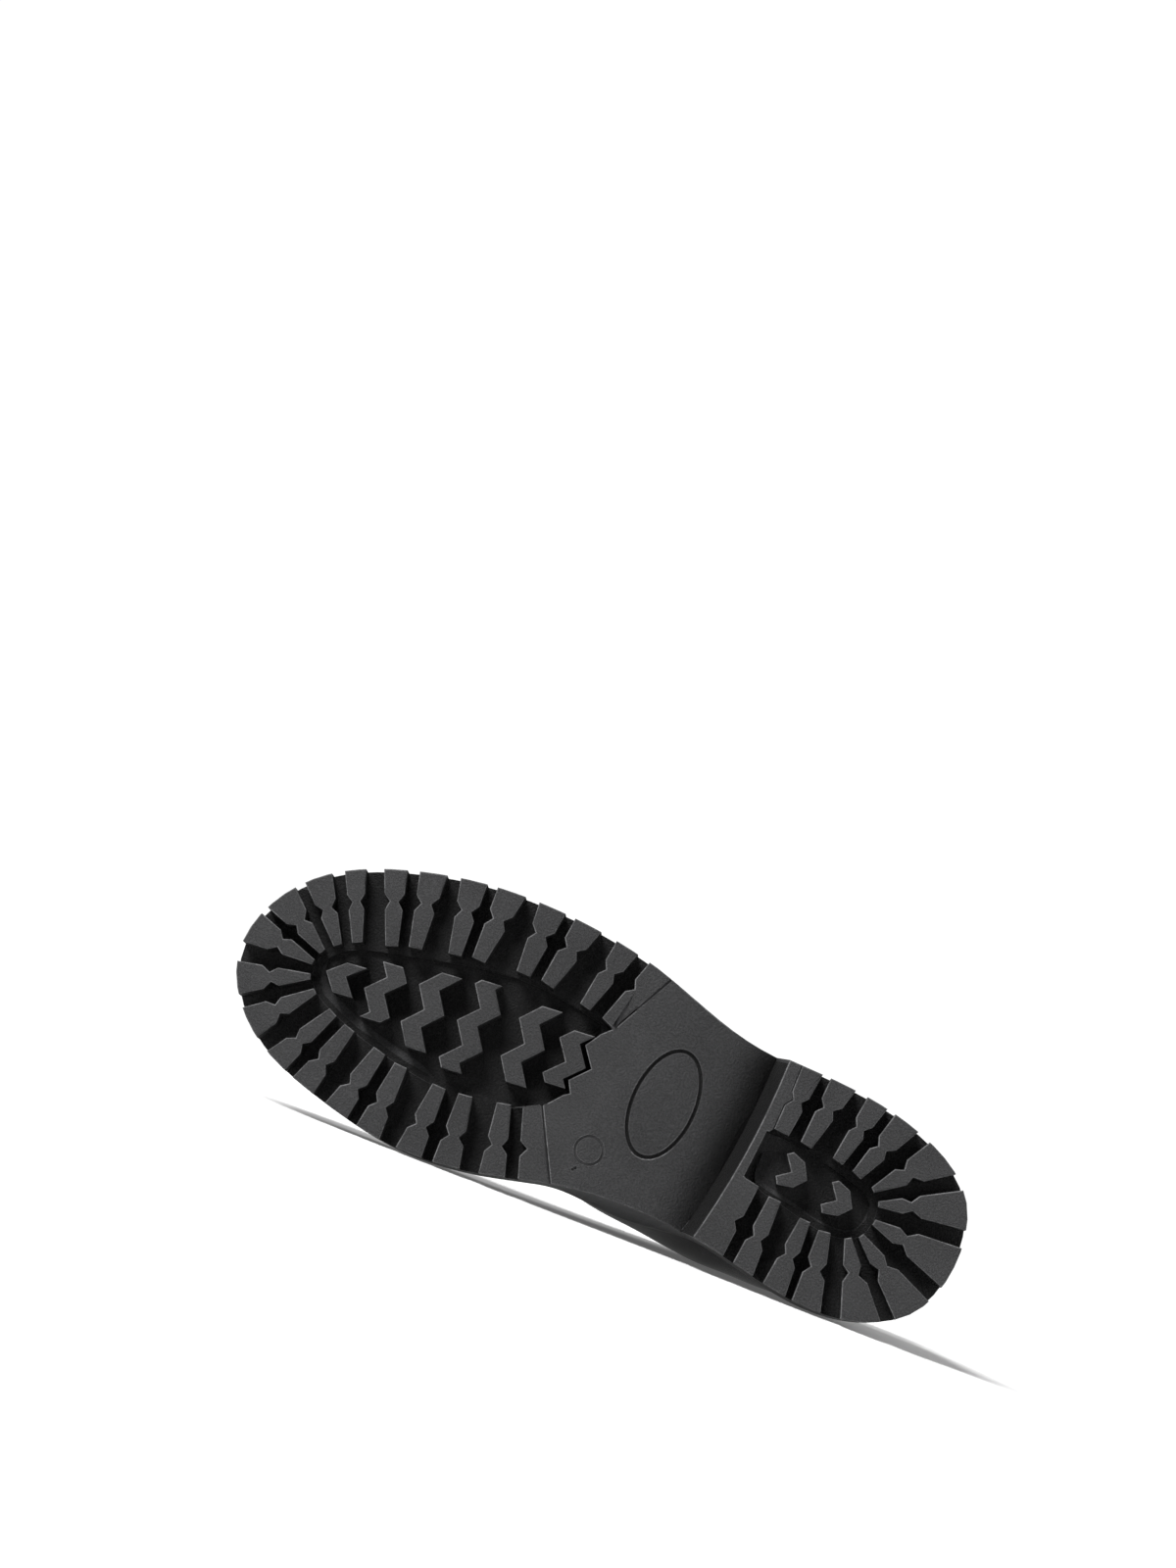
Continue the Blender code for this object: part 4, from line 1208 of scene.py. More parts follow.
    def _foot(self, edge: BMEdge) -> bool:
        """Whether an edge is where a lug's or a bar's wall meets the floor beside it.

        Args:
            edge: one of the outsole's edges.

        Returns:
            True where it is.
        """
        if not edge.is_manifold or edge.is_convex or edge.calc_face_angle(0.0) < math.radians(60):
            return False
        low = min(vert.co.z - self.shape.spring(vert.co.x) for vert in edge.verts)
        flat = any(face.normal.z < -0.8 for face in edge.link_faces)
        return low > self.shape.lug_depth - 0.6 and flat

    def _lip(self, face: BMFace) -> float:
        """How pale a rim on the waist is: scuffed all over, with a painted highlight on the medial lip
        round the oval where it faces the light.

        Args:
            face: one of the outsole's faces.

        Returns:
            The wear.
        """
        x, y, across, along = self.oval
        middle = face.calc_center_median()
        outer = math.hypot((middle.x - x) / along, (middle.y - y) / across) > 1.0
        near = abs(middle.x - x) < along + 2.0
        # the lip that faces the light gets a painted highlight
        facing = Vector((face.normal.x, face.normal.y, 0.0)).normalized().dot(Vector(self.lip))
        least, most = self.lip_wear_and_highlight
        return mix(least, most, smooth(facing, 0.3, 0.8)) if outer and near else least

    def _soften(self, bm: BMesh) -> None:
        """Gives every lug, every bar and the waist a narrow slanting rim and a small fillet at its foot.

        Both are marked for the pale edge colour: the rims for scuffs and a painted highlight where they
        face the light, the fillets for a painted highlight.

        Args:
            bm: the outsole.
        """
        edge = bm.loops.layers.float.new("edge")
        bm.normal_update()
        feet = [line for line in bm.edges if self._foot(line)]
        filled = bevelled(bm, feet, self.fillet)
        # painted highlight along the fillets at the lugs' feet
        for face in filled:
            for corner in face.loops:
                corner[edge] = self.fillet_highlight
        bm.normal_update()
        tops = [face for face in bm.faces if self._level(face) or self._arched(face)]
        made = bmesh.ops.inset_region(
            bm, faces=tops, thickness=self.rim[0], use_even_offset=True, use_boundary=True
        )["faces"]
        inner = {vert for face in tops for vert in face.verts}
        outer = {vert for face in made for vert in face.verts} - inner
        for vert in outer:
            vert.co.z += self.rim[1]
        bm.normal_update()
        # rims that face the light get a painted highlight on top of their scuffs; those on the waist get
        # theirs from the lip
        highlight_facing = Vector(self.highlight_facing)
        for face in made:
            waist = self._arched(face)
            facing = Vector((face.normal.x, face.normal.y, 0.0)).normalized().dot(highlight_facing)
            paleness = self._lip(face) if waist else mix(*self.wear_and_highlight, smooth(facing, -0.3, 0.8))
            for corner in face.loops:
                corner[edge] = paleness if corner.vert in outer else 0.0

    def build(self, shop: Workshop, finishes: Finishes) -> None:
        """Dresses the outsole.

        Args:
            shop: makes the piece.
            finishes: tread rubber and the trimmed side.
        """
        bm = shop.carve(shop.copy_of("outsole"), self._cutters())
        bmesh.ops.remove_doubles(bm, verts=bm.verts[:], dist=0.004)
        bmesh.ops.dissolve_limit(bm, angle_limit=math.radians(0.4), verts=bm.verts[:], edges=bm.edges[:])
        depth = bm.loops.layers.float.new("depth")
        aim = bm.loops.layers.float_vector.new("aim")
        self._soften(bm)
        bmesh.ops.triangulate(bm, faces=bm.faces[:])
        bm.normal_update()
        for face in bm.faces:
            middle = face.calc_center_median()
            inside, out = self.shape.edge.nearest(middle.x, middle.y)
            outside = inside < 1.0 and abs(face.normal.z) < 0.4
            face.material_index = 1 if outside or face.normal.z > 0.3 else 0
            arched = self._arched(face)
            level = face.normal.x * out[0] + face.normal.y * out[1] > 0.85
            for corner in face.loops:
                corner[depth] = self._depth(face, corner.vert.co)
                if outside and level:
                    x, y = self.shape.edge.nearest(corner.vert.co.x, corner.vert.co.y)[1]
                    corner[aim] = Vector((x, y, face.normal.z)).normalized()
                elif arched:
                    x, y = corner.vert.co.xy
                    turned = self.shape.arch_aim(x) + self._hollow(x, y) * Vector(self.lean)
                    corner[aim] = turned.normalized()
                elif self._level(face) and face.normal.z < -0.97:
                    corner[aim] = self.shape.tread_aim(corner.vert.co.x)
        shop.piece("outsole_tread", bm, finishes, Slot.SOLE, ["outsole"], sharp=20.0)


FORE_FIELD = (
    (171, -17.6), (181.5, -21.5), (196.3, -25), (207, -26.4), (224, -25.6), (234, -24.1), (248.8, -21.1),
    (257.5, -18.4), (267.8, -14), (272.2, -9.6), (273.8, -4), (272.4, 1.2), (268, 6.1), (261.4, 10.2),
    (248.3, 14.6), (239.5, 17.8), (224.3, 22.1), (215, 24.2), (196.8, 26.9), (186.6, 27.2), (169.6, 25.7),
    (160.5, 20.5), (157.0, 12.0), (157.5, 0.0), (162.0, -10.5),
)  # fmt: skip
HEEL_FIELD = (
    (80.6, 14.8), (70, 14.5), (56.5, 14.1), (47.8, 12.5), (39.9, 10.1), (35.8, 6.1), (34.5, -0.8),
    (36.8, -7.5), (40.9, -10.5), (49.9, -12.1), (58.4, -11.4), (72.1, -9.2), (80.5, -7.0), (83.5, 3.5),
)  # fmt: skip


@dataclass
class FieldBand:
    """The hollow slope down one side of a sunk field, at the roots of its lugs, smoother where it is
    painted light.

    Attributes:
        name: the piece's name.
        roots: plan points of the lugs' roots, once round with the field's own end.
        span: where the slope starts and ends, as shares of the way round.
        inset: how far inside the roots it starts.
        width: how wide it is.
        pitch: from one section to the next.
    """

    STEPS = 8  # faces down the slope

    name: str
    shape: SoleShape
    roots: tuple[Point, ...]
    span: Pair
    inset: float = -0.2
    width: float = 6.4
    pitch: float = 1.6

    def _section(self, line: Loop, place: float, narrow: float) -> Section:
        """The slope's section: down its hollow face and back under the field.

        Args:
            line: the line of the roots.
            place: how far round.
            narrow: share of the full width.

        Returns:
            The section.
        """
        low = self.shape.field_depth + 0.06
        rise = low - self.shape.lug_depth + 0.12
        section = []
        for share in np.linspace(0.0, 1.0, self.STEPS + 1):
            x, y = line.at(place, self.inset + self.width * share * narrow)
            section.append((x, y, low - rise * (1 - share) ** 1.8 + self.shape.spring(x)))
        for share, under in ((1.0, 0.8), (0.0, 2.6)):
            x, y = line.at(place, self.inset + self.width * share * narrow)
            section.append((x, y, self.shape.field_depth + under + self.shape.spring(x)))
        return section

    def build(self, shop: Workshop, finishes: Finishes) -> None:
        """Lays the slope, which narrows to both its ends.

        Args:
            shop: makes the piece.
            finishes: the tread's rubber.
        """
        line = Loop(self.roots)
        start, end = (line.length * share for share in self.span)
        count = int((end - start) / self.pitch)
        runs = [i / count for i in range(count + 1)]
        narrows = [mix(0.06, 1.0, smooth(min(run, 1 - run), 0.0, 0.2)) for run in runs]
        sections = [self._section(line, mix(start, end, run), narrow) for run, narrow in zip(runs, narrows)]
        bm = sweep(sections, False)
        uv = bm.loops.layers.uv.active
        depth = bm.loops.layers.float.new("depth")
        for face in bm.faces:
            for corner in face.loops:
                across, run = corner[uv].uv
                share = min(across * len(sections[0]) / self.STEPS, 1.0)
                # painted light near the slope's top along the middle of its run, painted shade towards its
                # ends and its foot
                painted_lit = smooth(min(run, 1 - run), 0.0, 0.14) * (1 - share**3)
                corner[depth] = mix(1.3, 0.2, painted_lit)
        shop.piece(self.name, bm, finishes, Slot.SOLE)


@dataclass
class Midsole:
    """The thin blacked layer between outsole and welt, with eased edges.

    Attributes:
        easing: radius of the eased edges.
        reach: how far in from the sole's edge it runs.
    """

    shape: SoleShape
    easing: float = 0.35
    reach: float = 14.0

    def build(self, shop: Workshop, finishes: Finishes) -> None:
        """Runs the layer round the sole's edge and closes it.

        Args:
            shop: makes the piece.
            finishes: its blacked side.
        """
        low = self.shape.outsole + 0.04
        high = low + self.shape.midsole + 2 * self.shape.gap - 0.08
        r = self.easing
        outer = [(0.25 + r, low), (0.12, low + r), (0.0, low + 2 * r)]
        outer += [(0.0, high - 2 * r), (0.12, high - r), (0.25 + r, high)]
        outer += [(self.reach, high), (self.reach, low)]
        bm = sweep(self.shape.band(lambda place: outer, 240), True)
        shop.piece("midsole_layer", bm, finishes, Slot.MIDSOLE, ["midsole"], sharp=40.0)


@dataclass
class Welt:
    """The flat strip with its stitch channel and the rolled bead that closes against the upper.

    Attributes:
        bead: inset and height of the bead's middle, and its radius.
        channel: inset of the channel's middle, and half its width.
        spots: how many points the row of stitches follows.
    """

    shape: SoleShape
    bead: Triple = (5.0, 3.6, 1.75)
    channel: Pair = (1.75, 0.55)
    spots: int = 600

    def _profile(self) -> list[Pair]:
        """Inset and height round the strip, its channel and its bead.

        Returns:
            The pairs, once round.
        """
        base = self.shape.outsole + 2 * self.shape.gap + self.shape.midsole
        top = base + self.shape.welt
        at, half = self.channel
        rows = [(0.35, base), (0.1, base + 0.12), (0.0, base + 0.45), (0.0, top - 0.5), (0.12, top - 0.14)]
        rows += [(0.42, top), (at - half, top), (at - half * 0.5, top - 0.3), (at + half * 0.5, top - 0.3)]
        rows += [(at + half, top), (3.0, top)]
        inset, height, radius = self.bead
        for angle in np.radians(np.linspace(190, -35, 11)):
            rows.append((inset + radius * math.cos(angle), base + height + radius * math.sin(angle) * 0.95))
        rows += [(7.3, base + 1.1), (7.5, base)]
        return rows

    def build(self, shop: Workshop, finishes: Finishes, thread: Stitching) -> None:
        """Runs the strip round the edge and sews it.

        Args:
            shop: makes the pieces.
            finishes: the welt's leather.
            thread: sews the row of stitches.
        """
        profile = self._profile()
        bm = sweep(self.shape.band(lambda place: profile, 300), True)
        shop.piece("welt_strip", bm, finishes, Slot.WELT, ["welt"], sharp=50.0)
        top = self.shape.outsole + 2 * self.shape.gap + self.shape.midsole + self.shape.welt
        line = []
        for i in range(self.spots):
            x, y = self.shape.edge.at(self.shape.edge.length * i / self.spots, self.channel[0])
            spot = Vector((x, self.shape.flared(x, y), top - 0.18 + self.shape.lift(x)))
            line.append((spot, Vector((0.0, 0.0, 1.0))))
        thread.row(line + line[:1])


# ---- thread -------------------------------------------------------------------------------------


@dataclass
class Stitching:
    """Rows of short stitches, all in one piece.

    Attributes:
        name: the piece's name.
        pitch: from one stitch to the next.
        size: a stitch's length, width and height.
    """

    name: str
    pitch: float = 3.2
    size: Triple = (2.5, 0.75, 0.55)
    bm: BMesh = field(default_factory=bmesh.new)

    def row(self, line: Sequence[Knot]) -> None:
        """Sews along a line.

        Args:
            line: points and outward normals.
        """
        points = [Vector(point) for point, _ in line]
        lengths = np.append(0, np.cumsum([(b - a).length for a, b in zip(points, points[1:])]))
        count = max(1, round(lengths[-1] / self.pitch))
        for i in range(count):
            at = (i + 0.5) * lengths[-1] / count
            k = min(int(np.searchsorted(lengths, at, side="right")) - 1, len(points) - 2)
            share = (at - lengths[k]) / max(lengths[k + 1] - lengths[k], 1e-9)
            middle = points[k].lerp(points[k + 1], share)
            normal = Vector(line[k][1]).lerp(Vector(line[k + 1][1]), share).normalized()
            ahead = (points[k + 1] - points[k]).normalized()
            side = normal.cross(ahead).normalized()
            ahead = side.cross(normal)
            turn = Matrix((ahead, side, normal)).transposed().to_4x4()
            length, width, height = self.size
            shape = Matrix.Diagonal((length / 2, width / 2, height / 2, 1.0))
            place = Matrix.Translation(middle) @ turn @ shape
            bmesh.ops.create_uvsphere(self.bm, u_segments=6, v_segments=5, radius=1.0, matrix=place)

    def build(self, shop: Workshop, finishes: Finishes, slot: Slot) -> None:
        """Ends the rows in one piece."""
        shop.piece(self.name, self.bm, finishes, slot, sharp=80.0)


# ---- the last and the upper ---------------------------------------------------------------------


class Rib(NamedTuple):
    """A rib of the last: a curve from the foot of the upper to its head, at a share of the way round.

    The head stands at x, spread from the crest, z. The rib leaves the foot at the angle lean for a
    reach of low, and comes into its head from a reach of high that points to the bearing aim (0 to
    the toe, 180 to the heel) and falls by the angle drop.
    """

    along: float
    x: float
    spread: float
    z: float
    aim: float
    drop: float
    low: float
    high: float
    lean: float


RIBS = (
    Rib(0.00, 262, 0, 64.5, 0, 7, 20, 25, 80),
    Rib(0.09, 257, 0, 65.5, 38, 8, 20, 27, 80),
    Rib(0.19, 246, 0, 67.5, 66, 9, 21, 29, 79),
    Rib(0.30, 226, 0, 71.5, 82, 11, 22, 31, 78),
    Rib(0.40, 204, 0, 77.5, 90, 13, 24, 31, 77),
    Rib(0.50, 186, 8, 85.0, 92, 20, 26, 28, 76),
    Rib(0.58, 168, 10, 99.0, 94, 30, 30, 30, 75),
    Rib(0.65, 150, 12, 118.5, 96, 44, 34, 33, 75),
    Rib(0.71, 133, 14, 140.0, 98, 62, 36, 38, 75),
    Rib(0.755, 118, 18.5, 156.5, 100, 78, 38, 43, 75),
    Rib(0.79, 106, 25.5, 160.0, 100, 86, 39, 46, 74),
    Rib(0.83, 88, 30.5, 159.5, 100, 90, 40, 48, 74),
    Rib(0.89, 56, 33, 157.0, 108, 91, 40, 48, 73),
    Rib(0.94, 30, 29, 157.0, 130, 93, 40, 47, 71),
    Rib(0.97, 18.5, 19.5, 158.5, 152, 95, 39, 46, 70),
    Rib(1.00, 12.5, 0, 160.0, 180, 96, 38, 46, 69),
)


class Last:
    """The form inside the boot, by side, share of the way along and share of the way up."""

    FEATHER_INSET = 8.2  # from the sole's edge to the foot of the upper
    TOE_EDGE = 340.4  # the toe's place on the sole's edge, from the heel round the medial side
    BULGE = 6.8  # how much further the medial side stands out over the arch and the ankle
    THROAT = 0.47  # the vamp's crest ends here, and the throat opens
    QUARTER = 0.50  # the quarter's front edge runs down this rib
    WALK = 0.01  # the share of a rib that is measured at a time

    def __init__(self, shape: SoleShape) -> None:
        """Stands the last on the sole.

        Args:
            shape: the sole.
        """
        self.shape = shape
        self.rows = np.array(RIBS, float)
        slopes = np.gradient(self.rows, self.rows[:, 0], axis=0)
        for name in ("x", "z", "drop", "low", "high", "lean"):
            column = Rib._fields.index(name)
            slopes[0, column] = 0.0
            slopes[-1, column] = 0.0
        self.slopes = slopes
        self.knots = lru_cache(maxsize=None)(self._knots)
        self.normal = lru_cache(maxsize=None)(self._normal)

    @staticmethod
    def crest(x: float) -> float:
        """The middle line, which swings to the medial side towards the toe."""
        return -9.0 * smooth(x, 110.0, 275.0) - 2.0 * (1 - smooth(x, 0.0, 60.0))

    def _rib(self, at: float) -> Rib:
        """The rib at this share of the way, on a smooth curve through the table.

        Args:
            at: the share.

        Returns:
            The rib.
        """
        rows, slopes = self.rows, self.slopes
        i = int(np.clip(np.searchsorted(rows[:, 0], at, side="right") - 1, 0, len(rows) - 2))
        span = rows[i + 1, 0] - rows[i, 0]
        t = (at - rows[i, 0]) / span
        return Rib(*curve(t, span, (rows[i], rows[i + 1]), (slopes[i], slopes[i + 1])))

    def _knots(self, side: int, along: float) -> np.ndarray:
        """The four control points of the rib on this side.

        Args:
            side: +1 lateral, -1 medial.
            along: the share of the way along.

        Returns:
            Its foot, two handles and head.
        """
        rib = self._rib(along)
        opened = min(max((along - self.THROAT) / (self.QUARTER - self.THROAT), 0.0), 1.0)
        spread = max(rib.spread, 0.0) * math.sqrt(opened * (2 - opened))
        edge = self.shape.edge
        way = edge.length - self.TOE_EDGE if side > 0 else self.TOE_EDGE
        place = self.TOE_EDGE + side * way * along
        foot_x, foot_y = edge.at(place, self.FEATHER_INSET)
        out = edge.outward(place)
        foot = np.array([foot_x, self.shape.flared(foot_x, foot_y), self.shape.feather(foot_x)])
        lean = math.radians(rib.lean)
        low = foot + rib.low * np.array([*(out * math.cos(lean)), math.sin(lean)])
        head = np.array([rib.x, self.crest(rib.x) + side * spread, rib.z])
        aim, drop = math.radians(rib.aim), math.radians(rib.drop)
        bearing = np.array([math.cos(aim), side * math.sin(aim)]) * math.cos(drop)
        high = head + rib.high * np.array([*bearing, -math.sin(drop)])
        return np.array([foot, low, high, head])

    def _bulge(self, along: float, up: float) -> float:
        """How far the medial side stands out here beyond its ribs. The facing's edge stays where it is.

        Args:
            along: the share of the way along.
            up: the share of the way up.

        Returns:
            The distance.
        """
        length = smooth(along, 0.50, 0.70) * (1 - smooth(along, 0.71, 0.84))
        kept = smooth(along, 0.76, 0.81)
        return self.BULGE * length * smooth(up, 0.0, 0.4) * (1 - (1 - kept) * smooth(up, 0.5, 0.9))

    def point(self, side: int, along: float, up: float) -> np.ndarray:
        """A point on the outer face of the last.

        Args:
            side: +1 lateral, -1 medial.
            along: the share of the way along.
            up: the share of the way up.

        Returns:
            The point.
        """
        a, b, c, d = self.knots(side, along)
        t = up
        spot = (1 - t) ** 3 * a + 3 * (1 - t) ** 2 * t * b + 3 * (1 - t) * t**2 * c + t**3 * d
        if side < 0:
            spot = spot - np.array([0.0, self._bulge(along, up), 0.0])
        return spot

    def _normal(self, side: int, along: float, up: float) -> np.ndarray:
        """The outward normal there, the mean of both sides where they meet.

        Args:
            side: +1 lateral, -1 medial.
            along: the share of the way along.
            up: the share of the way up.

        Returns:
            The unit normal.
        """
        step = 0.004
        met = along <= 0.0 or along >= 1.0 or (up >= 1.0 and along <= self.THROAT)
        inner = min(max(along, 0.02), 1 - step)
        level = min(max(up, step), 0.97)
        across = self.point(side, inner + step, level) - self.point(side, inner - step, level)
        rise = self.point(side, inner, level + step) - self.point(side, inner, level - step)
        normal = side * np.cross(across, rise)
        normal = normal / np.linalg.norm(normal)
        if met:
            normal = normal + normal * (1, -1, 1)
            normal = normal / np.linalg.norm(normal)
        return normal

    def at(self, side: int, along: float, up: float, proud: float = 0.0) -> np.ndarray:
        """A point this far proud of the last's outer face."""
        return self.point(side, along, up) + proud * self.normal(side, along, up)

    def spot(self, side: int, along: float, up: float, proud: float) -> Knot:
        """A point this far proud of the outer face, and the outward normal there."""
        return Vector(self.at(side, along, up, proud)), Vector(self.normal(side, along, up))

    def below_head(self, side: int, along: float, distance: float) -> float:
        """The share of the way up a rib that lies this far below its head."""
        return self._walk(side, along, distance, 1.0, -self.WALK)

    def above_foot(self, side: int, along: float, distance: float) -> float:
        """The share of the way up a rib that lies this far above its foot."""
        return self._walk(side, along, distance, 0.0, self.WALK)

    def _walk(self, side: int, along: float, distance: float, up: float, step: float) -> float:
        """Measures a distance along a rib.

        Args:
            side: +1 lateral, -1 medial.
            along: the share of the way along.
            distance: how far to go.
            up: the share of the way up where it starts.
            step: how much of the rib is measured at a time, less than 0 on the way down.

        Returns:
            The share of the way up where it ends.
        """
        length = 0.0
        while length < distance and (up > 0.02 if step < 0 else up < 0.98):
            walked = self.point(side, along, up + step) - self.point(side, along, up)
            length += float(np.linalg.norm(walked))
            up += step
        return up


@dataclass(frozen=True)
class Crease:
    """A soft fold across the vamp: a trough with a low ridge before it.

    Attributes:
        x: where it crosses the crest.
        slant: how far it moves to the heel for each millimetre down the side.
        width: half width of the trough.
        depth: how deep it is at its middle.
        reach: how far down either side it runs, lateral then medial.
        ridge: height of the ridge before it as a share of depth, its place and half width in widths.
    """

    x: float
    slant: float
    width: float
    depth: float
    reach: Pair
    ridge: Triple = (0.55, 2.1, 1.25)

    def push(self, x: float, y: float) -> float:
        """How far the leather stands out here.

        Args:
            x: x on the boot.
            y: y from the crest.

        Returns:
            The distance, less than 0 in the trough.
        """
        reach = self.reach[0] if y > 0 else self.reach[1]
        away = abs(y) / reach
        if away >= 1.0:
            return 0.0
        fade = (1 - away**2) ** 2
        off = x - (self.x - self.slant * abs(y))
        trough = -self.depth * bell(off, 0.0, self.width)
        height, place, half = self.ridge
        ridge = height * self.depth * bell(off, place * self.width, half * self.width)
        return fade * (trough + ridge)


@dataclass
class Vamp:
    """The front of the upper over the toes, in one sheet that runs under both quarters.

    Attributes:
        wall: its thickness.
        end: the share of the way along where it ends, under the quarters.
        grid: faces along and up each half.
        crest: how far to either side of the crest and from what height up it is smoothed, and how often.
        creases: the folds where the toes bend.
    """

    last: Last
    wall: float = 2.2
    end: float = 0.555
    grid: tuple[int, int] = (72, 44)
    crest: tuple[float, float, int] = (9.0, 55.0, 12)
    creases: tuple[Crease, ...] = (
        Crease(214.0, 0.16, 3.4, 0.75, (46.0, 44.0)),
        Crease(203.5, 0.05, 3.0, 0.85, (50.0, 46.0)),
        Crease(194.0, -0.10, 2.8, 0.60, (40.0, 42.0)),
    )

    def proud(self, side: int, along: float, up: float) -> float:
        """How far the leather stands off the last here."""
        x, y, _ = self.last.point(side, along, up)
        return sum(crease.push(x, y - self.last.crest(x)) for crease in self.creases)

    def build(self, shop: Workshop, finishes: Finishes) -> None:
        """Makes the sheet and gives it its thickness.

        Args:
            shop: makes the piece.
            finishes: the outer leather and the lining.
        """
        whole = bmesh.new()
        for side in SIDES:

            def place(u: float, v: float) -> Point:
                """The corner at u along and v up this side."""
                along, up = self.end * u, 1 - (1 - v) ** 1.1
                return self.last.at(side, along, up, self.proud(side, along, up))

            half = skin(*self.grid, place)
            if side < 0:
                bmesh.ops.reverse_faces(half, faces=half.faces[:])
            mesh = mesh_of("half", half)
            whole.from_mesh(mesh)
            bpy.data.meshes.remove(mesh)
        bmesh.ops.remove_doubles(whole, verts=whole.verts[:], dist=0.02)
        whole.normal_update()
        beside, above, passes = self.crest
        inner = [vert for vert in whole.verts if not vert.is_boundary and vert.co.z > above]
        crest = [vert for vert in inner if abs(vert.co.y - self.last.crest(vert.co.x)) < beside]
        axes = {"use_axis_x": True, "use_axis_y": True, "use_axis_z": True}
        for _ in range(passes):
            bmesh.ops.smooth_vert(whole, verts=crest, factor=0.5, **axes)
        obj = shop.piece("vamp", whole, finishes, Slot.UPPER, ["upper"], sharp=60.0)
        shell = obj.modifiers.new("thickness", "SOLIDIFY")
        shell.thickness = self.wall * MM
        shell.offset = -1.0
        shell.use_rim = True
        shell.material_offset = 1


